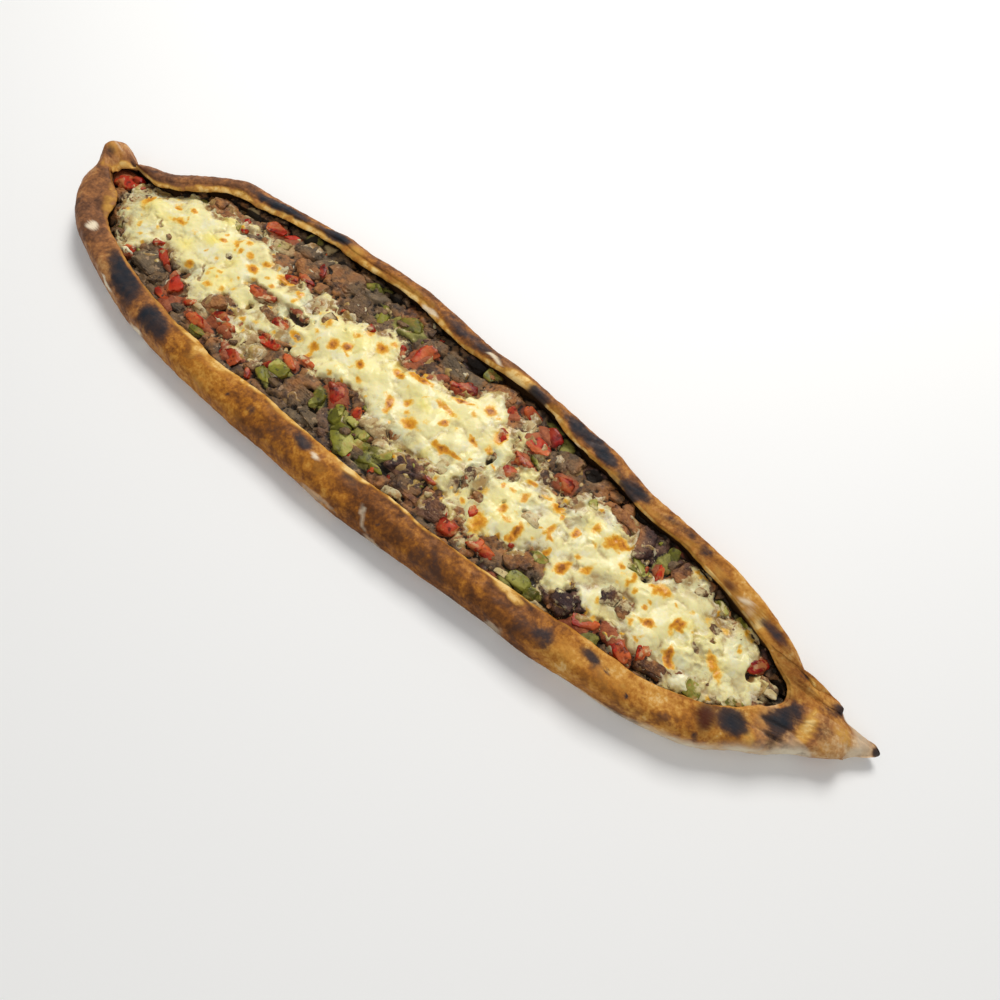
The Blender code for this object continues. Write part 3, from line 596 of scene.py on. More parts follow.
# gold: baked gold of the lip and of the marks, plus the painted highlight along the near lip's crest
rind = crust.math("MULTIPLY", crust.number("gold"), crust.remap(patch, 0.3, 0.6, 0.55, 1.0))
rind = crust.math("ADD", rind, crust.remap(blotch, 0.35, 0.65, -0.16, 0.1), clamp=True)
colour = crust.mix(crust.remap(rind, 0.05, 0.8), colour,
                   crust.ramp(rind, (0.2, ink(190, 126, 44)), (0.6, ink(214, 160, 72)), (0.95, ink(238, 204, 134))))
colour = crust.mix(crust.math("MULTIPLY", crust.number("red"), 0.95), colour, ink(62, 18, 14))
colour = crust.mix(crust.math("MULTIPLY", crust.number("pale"), crust.remap(blotch, 0.3, 0.65, 0.45, 1.0)), colour,
                   ink(226, 212, 184))
burn = crust.math("ADD", crust.number("scorch"), crust.remap(blotch, 0.35, 0.65, -0.09, 0.09))
burn = crust.math("ADD", burn, crust.remap(patch, 0.35, 0.65, -0.10, 0.10))
burnt = crust.ramp(burn, (0.2, ink(118, 76, 44)), (0.45, ink(86, 58, 44)), (0.68, ink(58, 46, 45)),
                   (0.86, ink(38, 39, 45)), (1.0, ink(24, 36, 46)))
colour = crust.mix(crust.remap(burn, 0.12, 0.66, 0.0, 0.96), colour, burnt)
dust = crust.math("MULTIPLY", crust.number("flour"), crust.remap(patch, 0.25, 0.5, 0.55, 1.0))
colour = crust.mix(dust, colour, ink(238, 222, 192))
# painted shade: the inner wall under the lip is darkened where the lip's shadow falls
colour = crust.mix(crust.number("inside"), colour, ink(74, 50, 28))
grain = crust.math("ADD", crust.math("MULTIPLY", fleck, 0.35), patch)
crust.set(Base_Color=colour, Roughness=crust.remap(patch, 0.3, 0.7, 0.44, 0.68),
          Normal=crust.bump(grain, 0.7 * MM, 0.7))
bread.data.materials.append(crust.material)
print("crust material:", len(crust.nodes), "nodes")

# %% [markdown]
# ## A plan map of the heap
# The filling and the cheese both need heights at any place, so the heap is drawn on a map with a cell every half
# millimetre. The bed is highest in the middle and falls away at the walls. Torn pieces of meat and vegetable are
# then pressed into it one by one, each keeping whichever is higher, which gives the packed, broken surface of a
# chopped filling with deep creases between its pieces.

# %% Map and bed
CELL = 0.5 * MM
map_x, map_y = np.arange(-254, 238, 0.5) * MM, np.arange(-64, 66.1, 0.5) * MM
PX, PY = np.meshgrid(map_x, map_y, indexing="ij")


def read_map(values, x, y):
    """The map's value at any place: blend of the four cells around it."""
    i = np.clip((x - map_x[0]) / CELL, 0, len(map_x) - 1.001)
    j = np.clip((y - map_y[0]) / CELL, 0, len(map_y) - 1.001)
    i0, j0 = i.astype(int), j.astype(int)
    u, v = i - i0, j - j0
    low = values[i0, j0] * (1 - u) + values[i0 + 1, j0] * u
    return low * (1 - v) + (values[i0, j0 + 1] * (1 - u) + values[i0 + 1, j0 + 1] * u) * v


def depth_inside(x, y, ring):
    """Distance from each place to the nearest side of a closed ring of points: positive inside it, negative outside.

    A place is inside when a line from it towards +x crosses the ring an odd number of times.
    """
    best, within = np.full(x.shape, np.inf), np.zeros(x.shape, bool)
    for a, b in zip(ring, np.roll(ring, -1, 0)):
        d = b - a
        t = np.clip(((x - a[0]) * d[0] + (y - a[1]) * d[1]) / (d @ d), 0, 1)
        best = np.minimum(best, (x - a[0] - t * d[0]) ** 2 + (y - a[1] - t * d[1]) ** 2)
        level = (a[1] > y) != (b[1] > y)
        within ^= level & (x < a[0] + (y - a[1]) * d[0] / (d[1] if d[1] else 1.0))
    return np.where(within, 1, -1) * np.sqrt(best)


def blurred(values, radius):
    """Three running means in each direction, close to a bell-shaped blur of the given radius in metres."""
    half = max(1, int(round(radius / CELL * 0.8)))
    for axis in (0, 1):
        for _ in range(3):
            padded = np.concatenate([np.take(values, [0] * (half + 1), axis), values, np.take(values, [-1] * half, axis)], axis)
            total = np.cumsum(padded, axis)
            n = values.shape[axis]
            high = np.take(total, np.arange(2 * half + 1, 2 * half + 1 + n), axis)
            values = (high - np.take(total, np.arange(n), axis)) / (2 * half + 1)
    return values


bed_ring = rib_edge + inward * (wall_at + 2.0 * MM)[:, None]
wall_depth = depth_inside(PX, PY, bed_ring[::5])
print("map of", PX.shape, "cells")

# %% [markdown]
# ## Where the cheese ran
# The cheese is one sheet along the middle. Its two ragged edges are read at even stations, and ovals say where it
# browned into blisters, where it is buttery, where it thinned to a grey veil and where it has holes. The tables come
# before the filling, because thin strings and films of cheese also lie on the filling next to the sheet.

# %% Tables of the cheese
CHEESE_EDGES = (
    (-241.5, -9, 7), (-236.5, -17.5, 11), (-232.5, -21.5, 12), (-226.5, -21.5, 16), (-222.5, -25.5, 19),
    (-218.5, -30.5, 20), (-213.5, -35.5, 22), (-208.5, -34.5, 22), (-203, -27.5, 22), (-198, -19.5, 21),
    (-192, -17.5, 20), (-186, -18.5, 20), (-180, -18.5, 22), (-174, -20.5, 22), (-168, -21.5, 23),
    (-163, -23.5, 24), (-157, -25.5, 26), (-151, -31.5, 27), (-146, -30.5, 26), (-141, -21.5, 23),
    (-136, -16.5, 20), (-130, -15.5, 18), (-123.5, -18.5, 16), (-118.5, -23.5, 16), (-112.5, -25.5, 17),
    (-106.5, -23.5, 18), (-100.5, -19.5, 19), (-95.5, -17.5, 23), (-90.5, -18.5, 21), (-85.5, -18.5, 18),
    (-80.5, -19.5, 18), (-74.5, -16.5, 18), (-69.5, -16.5, 20), (-64.5, -16.5, 23), (-59.5, -18.5, 24),
    (-55.5, -21.5, 24), (-50.5, -15.5, 25), (-45, -13, 28), (-40, -13, 29), (-35, -12, 21), (-30, -13, 17),
    (-24, -14, 16), (-18, -18.5, 17), (-11, -18.5, 20), (-5, -15.5, 22), (1, -17.5, 22), (7, -20.5, 23),
    (13, -21.5, 25), (18, -18.5, 34), (23, -17.5, 42), (28, -21.5, 43), (33.5, -24.5, 37), (38.5, -25.5, 32),
    (43.5, -25.5, 28), (48.5, -25.5, 25), (53.5, -25.5, 17), (58.5, -27.5, 13), (63.5, -33.5, 12),
    (68.5, -35.5, 14), (73.5, -30.5, 15), (79.5, -25.5, 15), (85.5, -25.5, 15), (91.5, -23.5, 14),
    (97.5, -17.5, 13), (102.5, -17.5, 19), (107.5, -20.5, 27), (113, -29.5, 26), (118, -29.5, 25), (123, -23.5, 22),
    (128, -21.5, 20), (133, -23.5, 17), (138, -25.5, 14), (143, -25.5, 10), (148, -22.5, 6), (153, -21.5, 8),
    (158, -24.5, 13), (163, -28.5, 19), (168, -28.5, 30), (173, -25.5, 31), (178, -24.5, 28), (183, -27.5, 23),
    (188, -28.5, 17), (193.5, -28.5, 15), (198.5, -26.5, 18), (203.5, -24.5, 21), (208.5, -21.5, 20),
    (213.5, -18.5, 16), (218.5, -15.5, 6), (222.5, -9, -1),
)
BLISTERS = (
    (-229, 0.5, 4, 3.5, 60, 0.75), (-226, -3.5, 5, 3, -20, 0.5), (-199.5, 12.5, 2.8, 2, 0, 0.8),
    (-211.5, 9.5, 2.5, 2.5, 0, 0.4), (-198.5, 1.5, 5, 2, 15, 0.75), (-206.5, -0.5, 4, 2, 0, 0.45),
    (-186.5, 1.5, 2.4, 2.4, 0, 0.45), (-170.5, -15.5, 3, 2.6, 0, 0.9), (-160.5, 12.5, 3.6, 1.8, -30, 0.85),
    (-148.5, 12.5, 3, 2, -20, 0.8), (-139.5, 6.5, 4.6, 2.6, -10, 1.1), (-136.5, 14.5, 3.2, 2, 10, 0.8),
    (-155.5, 18.5, 3, 2, 0, 0.6), (-149.5, -19.5, 2.8, 2.4, 0, 0.8), (-116.5, -21.5, 2.4, 2, 0, 0.6),
    (-134.5, -2.5, 2, 1.5, 0, 0.5), (-141.5, -14.5, 2, 3, 30, 0.45), (-106, 12.5, 3, 2, 0, 1),
    (-104, 7.5, 2, 4, 10, 0.5), (-120.5, 14.5, 5, 4, 0, 0.8), (-80, 14.5, 3.4, 2.8, 0, 1),
    (-78, 9.5, 3, 5, 20, 0.7), (-88, 11.5, 2.4, 2, 0, 0.6), (-72, -7.5, 3.4, 3, 0, 1.1),
    (-85, -9.5, 4.5, 2.4, 0, 0.9), (-65, 0.5, 3, 3.4, 20, 0.9), (-58, 4.5, 2.6, 3, -20, 1),
    (-59, 14.5, 2.2, 2.4, 0, 0.7), (-56, 20.5, 2.6, 2.4, 0, 0.7), (-43, 17.5, 4.2, 3.6, 0, 1),
    (-40, 23.5, 2, 2.5, 20, 0.7), (-44, 0.5, 2.8, 2.6, 0, 1), (-37, -6.5, 1.8, 1.8, 0, 0.7),
    (-53, 0.5, 1.8, 1.2, 0, 0.4), (-23, 11.5, 4.4, 2.4, -10, 1), (-12, 17.5, 8, 2, 5, 1.05),
    (-17, 16.5, 3, 2.4, 0, 0.7), (-8, 1.5, 2, 2.4, -20, 0.9), (-14, -6.5, 2, 5, 28, 1),
    (-18, -3.5, 3, 1.5, -30, 0.5), (2.5, -7.5, 4.2, 3.4, 0, 1.3), (11.5, 12.5, 8, 2, 0, 1),
    (16.5, 4.5, 1.8, 3.6, -25, 1), (14.5, 22.5, 7, 1.6, 15, 1), (29.5, 28, 3, 3.6, 40, 0.9),
    (24.5, 19.5, 2.4, 1.6, -30, 0.5), (44.5, 20.5, 3.4, 6, 10, 1.05), (34.5, 7.5, 4, 1.4, -15, 0.85),
    (44.5, 8.5, 2.6, 2.6, 0, 0.7), (26.5, -6.5, 5.5, 1.8, 12, 1.05), (34.5, -5.5, 4, 1.2, 0, 0.8),
    (9.5, -1.5, 2, 2, 0, 0.4), (21.5, -8.5, 3, 1.5, 0, 0.5), (74.5, 9.5, 3.4, 1.8, 25, 1.1),
    (85.5, 8.5, 3.4, 1.6, 25, 0.7), (93.5, 7, 3.6, 2.8, 0, 1.1), (77, 0.5, 2.2, 3, 0, 1.1),
    (86.5, -17.5, 2.2, 5, 0, 1.1), (72.5, -12.5, 2.6, 3, 0, 0.9), (78.5, -15.5, 3, 2, 0, 0.6),
    (66.5, -22.5, 5, 3, -20, 0.7), (68.5, -27.5, 4, 6, 0, 0.6), (58.5, -10.5, 4, 2.4, 0, 0.6),
    (109, 3.5, 2, 2.2, 0, 1), (98, -4.5, 1.6, 5.5, -15, 0.8), (94.5, -14.5, 1.6, 1.6, 0, 0.6),
    (115, -16, 2, 5, -25, 1.1), (104, -15.5, 1.6, 3.5, -15, 0.9), (116, 11.5, 2.4, 3, 0, 0.8),
    (116, -17.5, 2, 4, -30, 0.6), (127, 12.5, 5, 3, 40, 1.1), (131, 13.5, 3, 2.6, 0, 1),
    (125, -9.5, 2, 3.5, -35, 0.9), (126, 9.5, 2, 5, -30, 0.6), (160, 7.5, 3.5, 3.5, 0, 1), (157, 3.5, 2, 2, 0, 0.8),
    (163, 8.5, 2.5, 1.5, 0, 0.7), (174, -2.5, 1.6, 3.4, -10, 1.15), (177, -1.5, 1.4, 2.6, -10, 0.9),
    (164, -11.5, 4, 2, 15, 1), (180, -15.5, 1.8, 4.5, 15, 1), (183, -19.5, 3, 2, -20, 0.9),
    (198, -5.5, 5, 2.6, -30, 0.65), (204.5, -9.5, 2.4, 4, 20, 0.7), (195, 12.5, 2.4, 2, 0, 0.7),
    (205.5, 18.5, 4, 2, 0, 0.6), (142, 0.5, 1.5, 1.5, 0, 0.3), (141, -4.5, 2, 1, 0, 0.5), (186, 12.5, 3, 3, 0, 0.4),
    (206.5, -20.5, 2, 2, 0, 0.6), (169, 27, 3, 2, 0, 0.6), (175, 29, 3, 1.5, 0, 0.6),
)
BUTTER_MARKS = (
    (-174.5, 4.5, 6, 3.5, 10, 1), (-182.5, -7.5, 5, 5, 0, 0.6), (-214.5, -1.5, 10, 5, 0, 0.35),
    (-154.5, 3.5, 6, 5, 0, 0.5), (-149.5, -9.5, 8, 10, 0, 0.4), (-141.5, -11.5, 5, 6, 0, 0.4),
    (1.5, 5.5, 5, 2.6, 0, 0.9), (-9, 8.5, 8, 4, 0, 0.4), (-59, 12.5, 12, 6, 0, 0.5), (-35, 4.5, 10, 8, 0, 0.35),
    (16.5, 10.5, 10, 5, 0, 0.5), (31.5, 22.5, 8, 8, 0, 0.25), (117, 10.5, 8, 6, 0, 0.5), (182, 0.5, 10, 8, 0, 0.3),
    (199, -4.5, 7, 4, 0, 0.5), (150, 0.5, 10, 5, 0, 0.3), (-29, 14.5, 8, 3, 0, 0.5), (76.5, -12.5, 8, 8, 0, 0.4),
    (67.5, -27.5, 6, 8, 0, 0.6), (105, 21.5, 4, 3, 0, 0.7), (-228, -1.5, 8, 7, 0, 0.4),
    (-177.5, 22.5, 8, 3, 0, 0.7), (21.5, -14.5, 4, 4, 0, 0.4),
)
VEIL_MARKS = (
    (-236.5, -1, 5, 15, 0, 1), (-228.5, -13, 9, 7, 0, 0.7), (-215.5, -27.5, 9, 8, 0, 0.75),
    (-208.5, -20.5, 8, 7, 0, 0.45), (-213.5, -10, 8, 3, 0, 0.3), (-150, 27, 20, 4, 8, 0.9),
    (-166, -21.5, 5, 8, 0, 0.7), (-160, -9, 4, 8, 0, 0.35), (-165, -19.5, 8, 5, 0, 0.5),
    (-111.5, -13, 10, 6, 0, 0.6), (-99.5, 15, 8, 8, 0, 0.9), (-92.5, 13, 5, 8, 0, 0.6), (-106.5, -2, 9, 5, 0, 0.9),
    (-94.5, -11, 10, 5, 0, 0.9), (-83.5, -13, 6, 6, 0, 0.5), (-69.5, -11, 6, 6, 0, 0.35),
    (-21, -11, 10, 5, 0, 0.55), (1, -14, 12, 6, 0, 0.7), (27, -11, 8, 5, 0, 0.6), (37.5, -15.5, 7, 6, 0, 0.7),
    (41.5, 25, 3, 7, 0, 0.4), (44.5, -12, 6, 10, 0, 0.9), (49.5, 3, 5, 9, 0, 0.9), (59.5, 7, 6, 8, 0, 0.85),
    (56.5, -9, 6, 8, 0, 0.6), (61.5, -22.5, 6, 10, 0, 0.55), (67.5, -31.5, 7, 5, 0, 0.5), (86.5, -2, 6, 8, 0, 0.45),
    (81.5, -5, 4, 3, 0, 0.6), (96.5, -20.5, 6, 4, 0, 0.6), (98.5, 10, 5, 4, 0, 0.6), (132, -11, 9, 6, 0, 0.5),
    (145, -12, 9, 8, 0, 0.75), (188, 4, 5, 5, 0, 0.55), (192.5, -19.5, 10, 7, 0, 0.6), (174, 23, 9, 8, 0, 0.75), (163, 14, 9, 6, 0, 0.5),
    (200, 10, 9, 6, 0, 0.5), (180, -21, 9, 7, 0, 0.5), (190, -4, 8, 4, 0, 0.4), (206, -10, 6, 8, 0, 0.4),
    (188, 13, 8, 4, 0, 0.5), (207.5, 13, 8, 7, 0, 0.5), (214.5, -7, 7, 7, 0, 0.5), (-130, 21, 8, 5, 0, 0.7),
    (-117.5, 21, 7, 5, 0, 0.7), (112, 21, 7, 5, 0, 0.4), (157, -20.5, 6, 4, 0, 0.5), (-59.5, 21, 4, 3, 0, 0.3),
    (6, 1, 10, 8, 0, 0.15), (21, 9, 4, 3, 0, 0.45),
)
HOLES = (
    (-96.5, 0.5, 8, 3, 0, 1), (-90.5, 0.5, 3, 3.4, 0, 1), (-121.5, -12, 2.2, 1.6, -40, 1),
    (-84, -17, 1.8, 1.3, 0, 1), (48, 4.5, 2, 3, 0, 1), (151, 7, 2, 1.2, 0, 1), (-206.5, -8, 4, 1, -35, 0.6),
    (70, -10, 1.2, 1.2, 0, 0.5), (-120.5, 11.5, 2, 1.5, 0, 0.5), (216.5, 3.5, 3, 3, 0, 0.9),
    (-214.5, -30, 4, 2, 0, 0.5), (-159, -15, 6, 0.8, -55, 0.5), (82.5, -5, 1.5, 1.2, 0, 0.8),
    (192.5, 2.5, 1.4, 1.4, 0, 0.8), (35, -17, 4, 2, 25, 0.5), (46, -17, 3, 3, 0, 0.6),
    (57, -15, 3.4, 2.2, -10, 0.8), (-118.5, -3, 8, 4, 0, 0.6), (-128.5, -0.5, 8, 3, 8, 0.7),
    (-100.5, -9, 8, 3, 0, 0.7), (-106.5, -7, 4, 3, 0, 0.7), (-84, 4.5, 1, 1, 0, 0.4), (148, -11, 6, 5, 0, 0.5),
    (59, 5.5, 4, 6, 0, 0.4), (47, -5, 3, 5, 0, 0.4), (-67, 11.5, 1, 1, 0, 0.3),
)


# %% Distance from the cheese's edge, and its film on the filling
wx = PX + MM * (2.6 * flat_rough(PX, PY, 8 * MM, 41, 3, 0.6) + 0.9 * flat_rough(PX, PY, 2.5 * MM, 45, 2))
wy = PY + MM * (2.6 * flat_rough(PX, PY, 8 * MM, 42, 3, 0.6) + 0.9 * flat_rough(PX, PY, 2.5 * MM, 46, 2))
edge_x, edge_low, edge_high = (np.array(v) * MM for v in zip(*CHEESE_EDGES))
within = np.minimum(wy - np.interp(wx, edge_x, edge_low), np.interp(wx, edge_x, edge_high) - wy)
within = np.minimum(within, np.minimum(wx - edge_x[0], edge_x[-1] - wx)) / MM
FILM_MARKS = (
    (-95, -36, 14, 7, 0, 0.8), (-108, -30, 8, 6, 0, 0.6), (-60, -24, 10, 5, 0, 0.4), (0, -26, 14, 6, 0, 0.6),
    (60, -30, 12, 8, 0, 0.8), (75, -40, 12, 4, 0, 0.4), (50, 33, 8, 12, 0, 0.8), (100, 20, 6, 9, 0, 0.7), (70, 30, 8, 8, 0, 0.3),
    (146, 25, 6, 7, 0, 0.8), (168, 27, 14, 6, 0, 0.9), (195, 22, 14, 5, 0, 0.7), (222, 2, 7, 7, 0, 0.9),
    (150, -17, 10, 5, 0, 0.4), (28, -44, 9, 4, 0, 0.7), (-214, -30, 10, 7, 0, 0.7), (-215, 24, 16, 5, 30, 0.7),
    (-160, 27, 16, 6, 8, 0.9), (-88, 16, 6, 8, 0, 0.6), (-33, 40, 10, 8, 0, 0.4), (-48, 34, 5, 8, 0, 0.4),
    (-158, -38, 12, 6, 0, 0.3), (-120, -38, 16, 8, 0, 0.35), (-196, -28, 8, 6, 0, 0.35), (125, -34, 8, 4, 0, 0.3),
    (-244, 6, 7, 6, 0, 0.6), (-20, -26, 8, 6, 0, 0.4), (60, 22, 14, 8, 0, 0.45), (3, -33, 10, 8, 0, 0.35),
    (-112, -22, 16, 6, 0, 0.4), (-112, 24, 12, 5, 0, 0.3),
)
web = 1 - np.abs(flat_rough(wx, wy, 8.5 * MM, 63, 3, 0.5)) / 0.24
outside = np.maximum(-within, 0)
strand_reach = np.clip(np.exp(-outside / 5.5) + 0.9 * spots(wx, wy, FILM_MARKS, 0.8), 0, 1)
strand = 1.1 * np.minimum(web, 0.9) + 1.9 * (strand_reach - 0.95)
film = np.clip(smooth_step(-1.2, 0.3, strand) * (0.3 + 0.7 * strand_reach), 0, 1)
OIL_MARKS = ((-118, 19, 16, 8, 0, 1), (-104, -22, 18, 6, 0, 0.7), (-70, -22, 12, 5, 0, 0.8), (72, -33, 16, 6, 0, 0.8),
    (0, 22, 10, 5, 0, 0.6), (60, 20, 12, 10, 0, 0.8), (88, 22, 10, 8, 0, 0.6), (-132, -38, 12, 8, 0, 0.6), (-80, -47, 6, 5, 0, 0.6))
stain = smooth_step(-0.2, 0.5, flat_rough(PX, PY, 24 * MM, 64, 3, 0.6) + 0.5 * np.exp(-outside / 8) - 0.02)
stain = np.maximum(stain, spots(wx, wy, OIL_MARKS, 0.8))
print("film lies on", round(float((film > 0.3).mean() * 100)), "% of the map")

# %% Map of the bed
core = 9.0 + 3.4 * (1 - np.exp(-np.maximum(wall_depth, 0) / (14 * MM)))
core += 0.45 * np.sin(PX / (7 * MM)) * np.cos(PY / (6 * MM)) + 0.3 * np.sin(PX / (4 * MM) + PY / (5 * MM))
core += 1.6 * smooth_step(10 * MM, -10 * MM, PY) * np.exp(-np.maximum(wall_depth, 0) / (10 * MM))
core = (core - 1.2) * MM
print("bed height", round(float(core.min() / MM), 1), "to", round(float(core.max() / MM), 1), "mm")

# %% The table of pieces
TOPPINGS = (
    ("tomato", -249, 2, 17, 11, 20), ("meat", -192, 28, 22, 13, 0), ("green_pepper", -177, 23, 13, 6, 0),
    ("red_pepper", -170, 27, 10, 5, -60), ("meat", -191, -31, 18, 13, 0), ("red_pepper", -187, -22, 15, 5, -30),
    ("meat", -175, -35, 12, 9, 10), ("tomato", -164, -31, 13, 12, -20), ("tomato", -154, 38, 14, 9, -10),
    ("meat", -129, 41, 18, 14, 30), ("meat", -117, 29, 16, 11, -10), ("meat", -95, 40, 24, 16, 10),
    ("meat", -76, 29, 17, 15, 0), ("green_pepper", -61, 37, 16, 8, -60), ("green_pepper", -44, 40, 17, 12, 25),
    ("tomato", -23, 31, 16, 11, 65), ("tomato", -124, -2, 14, 6, 15), ("tomato", -97, -10, 12, 8, -10),
    ("meat", -137, -25, 12, 12, 0), ("tomato", -125, -29, 14, 9, 30), ("tomato", -134, -40, 15, 8, 0),
    ("tomato", -102, -42, 14, 9, -15), ("onion", -95, -31, 9, 9, 0), ("green_pepper", -75, -31, 12, 11, 0),
    ("meat", -59, -36, 19, 13, 0), ("tomato", -40, -20, 15, 9, -40), ("green_pepper", -46, -30, 11, 7, -70),
    ("meat", -42, -41, 16, 8, -10), ("green_pepper", -17, -39, 18, 12, -20), ("green_pepper", -29, -31, 10, 9, 0),
    ("meat", 13, -28, 12, 10, 0), ("meat", 26, -34, 14, 12, 0), ("meat", 43, -35, 16, 13, 0),
    ("red_pepper", 58, -38, 11, 9, 20), ("tomato", 80, -35, 14, 6, 0), ("meat", 96, -28, 15, 10, 20),
    ("green_pepper", 104, -36, 13, 8, 0), ("meat", -4, 37, 17, 14, 0), ("tomato", 9, 29, 14, 11, 50),
    ("meat", 28, 43, 14, 9, 0), ("tomato", 48, 43, 13, 6, -10), ("red_pepper", 64, 40, 13, 9, -20),
    ("tomato", 62, 29, 16, 10, 0), ("tomato", 60, 17, 18, 7, 5), ("meat", 82, 33, 17, 13, 0),
    ("tomato", 87, 22, 13, 9, 0), ("meat", 100, 20, 13, 8, 80), ("meat", 124, 28, 18, 8, -5),
    ("meat", 138, 23, 17, 12, -60), ("green_pepper", 154, 24, 14, 8, 90), ("meat", 163, 21, 12, 8, 70),
    ("red_pepper", 216, 9, 14, 7, 60), ("meat", 125, -29, 15, 8, 0), ("tomato", 140, -30, 14, 8, 30),
    ("tomato", 157, -29, 20, 8, -20), ("meat", 178, -27, 14, 7, 10), ("meat", 224, 1, 11, 9, 0),
)
EXTRA_PIECES = (
    ("meat", -224, -27, 9, 6, -20), ("tomato", -205, -33, 9, 6, 10), ("tomato", -143, 40, 9, 7, 20),
    ("red_pepper", -110, 35, 9, 5, -65), ("green_pepper", -79.5, 48.5, 13, 5, 20),
    ("green_pepper", -12, -29, 8, 7, 0), ("green_pepper", 13.5, 47.5, 8, 8, 0), ("onion", -141, 32, 14, 9, 10),
    ("tomato", -94.5, -21, 12, 6, 0), ("tomato", -74.5, -23, 12, 6, -15), ("tomato", -163.5, -41, 14, 6, -8),
    ("green_pepper", -130, -44, 12, 5, 10), ("tomato", -117, -31, 10, 6, 10), ("tomato", -82.5, -33, 6, 4, 60),
    ("green_pepper", -78.5, -39, 12, 7, -25), ("tomato", -66.5, -17.5, 13, 5, 0), ("meat", -50, -15.5, 6, 5, 0),
    ("tomato", -23, -22, 10, 5, -60), ("green_pepper", -24, -34, 12, 7, 10), ("green_pepper", -1.5, -38, 13, 8, 10),
    ("onion", 22.5, -42, 12, 6, 15), ("red_pepper", 39, 36, 9, 6, -30), ("tomato", 44, 21.5, 6, 8, 80),
    ("tomato", 74, -35, 9, 7, 10), ("green_pepper", 104.5, -17.5, 9, 5, 10), ("tomato", 61, 6.5, 10, 8, 0),
    ("meat", 47, -8.5, 8, 12, 0), ("meat", 143, -12.5, 7, 8, 0), ("meat", 151, -11.5, 6, 7, 0),
    ("tomato", 153.5, 14.5, 11, 4, -65), ("green_pepper", 144, 10.5, 13, 5, -20), ("meat", 176.5, 24.5, 11, 9, 20),
    ("green_pepper", 187.5, 21.5, 8, 4, -30), ("green_pepper", 199.5, 22, 9, 3.5, -10),
    ("tomato", 170, -21, 12, 4, -60), ("green_pepper", 216.5, -12.5, 11, 6, 25), ("tomato", -121, 17.5, 11, 6, 30),
    ("tomato", -112, 23.5, 12, 6, -10), ("meat", -179.5, 25.5, 9, 6, 0), ("meat", -195, 29, 10, 7, 0),
    ("meat", -159.5, 35, 10, 6, -20), ("meat", -70.5, -37, 9, 6, 0), ("meat", -88.5, -39, 7, 7, 0),
    ("tomato", -86.5, -44, 8, 4, -40), ("meat", -111, -8.5, 9, 5, 0), ("meat", -151.5, -41, 8, 5, 0),
    ("tomato", -148.5, -33, 8, 6, 30), ("onion", -141, -33, 10, 5, 0), ("meat", -47, 39, 9, 6, 0),
    ("meat", -64.5, 38, 8, 6, 0), ("onion", 51, 36, 6, 10, 0), ("meat", 93.5, -31, 10, 6, 0),
    ("onion", 93.5, -38, 12, 4, 0), ("meat", 111.5, 35, 9, 6, 0), ("meat", 122.5, 32, 9, 7, -30),
    ("meat", 157, 24.5, 6, 9, 0), ("meat", 194.5, 17.5, 8, 4, 20), ("onion", 226, 0.5, 8, 4, 0),
    ("meat", -33, 46, 9, 5, 0), ("green_pepper", -30, -28, 9, 5, -50), ("meat", -20, -34, 6, 5, 0),
    ("tomato", 33.5, -25, 8, 3, 0), ("onion", 39, -32, 4, 3, 30), ("meat", 33.5, -39, 12, 5, 0),
    ("meat", -7.5, -39, 9, 6, 0), ("green_pepper", 8.5, -39, 9, 4, 0), ("tomato", 5.5, 28, 9, 5, 20),
    ("green_pepper", 67, 20.5, 8, 3, -10), ("meat", 97.5, 24.5, 6, 8, 0), ("tomato", -33, 23.5, 9, 5, -50),
    ("meat", -101, 25.5, 10, 8, 0), ("meat", -90.5, 36, 8, 5, 0), ("meat", -63.5, 27, 8, 8, 0),
    ("meat", -214, 28, 7, 5, 0), ("onion", -60.5, 40, 5, 3, 0), ("green_pepper", 4, -31, 12, 7, 30),
    ("green_pepper", -8, -34, 9, 7, -20), ("onion", 0, -27, 9, 5, 10), ("red_pepper", -256, -2, 8, 5, 60),
    ("green_pepper", 112, -37, 8, 6, 30), ("onion", 118, -40, 9, 5, 0),
)
MEAT_TONES = (  # x, y, radius, tone: low is purple-black, high is grey, the middle is tan
    (-95, 40, 13, 0.5), (-76, 29, 12, 0.6), (-117, 26, 13, 0.55), (-129, 41, 10, 0.95), (-191, -31, 10, 0.95),
    (-137, -25, 8, 0.78), (-59, -36, 10, 0.45), (-42, -41, 9, 0.84), (26, -34, 8, 0.3), (43, -35, 9, 0.12), (13, -28, 7, 0.02),
    (82, 33, 10, 0.86), (124, 28, 10, 0.1), (138, 23, 10, 0.08), (-4, 37, 10, 0.95), (96, -28, 9, 0.3), (125, -29, 8, 0.04),
    (163, 21, 7, 0.15), (178, -27, 8, 0.16), (143, -12.5, 5, 0.92), (151, -12, 5, 0.03), (224, 1, 7, 0.9), (28, 43, 8, 0.5),
)


def chosen_tone(tx, ty, otherwise):
    """The table's tone where the place lies inside one of its circles."""
    for cx, cy, reach, tone in MEAT_TONES:
        if math.hypot(tx - cx, ty - cy) < reach:
            return tone
    return otherwise


print(len(TOPPINGS), "large pieces and", len(EXTRA_PIECES), "smaller ones")

# %% Lumps packed side by side
chance = np.random.default_rng(7)
LUMP_KINDS = {"meat": 0, "tomato": 1, "red_pepper": 1, "green_pepper": 2, "onion": 3}


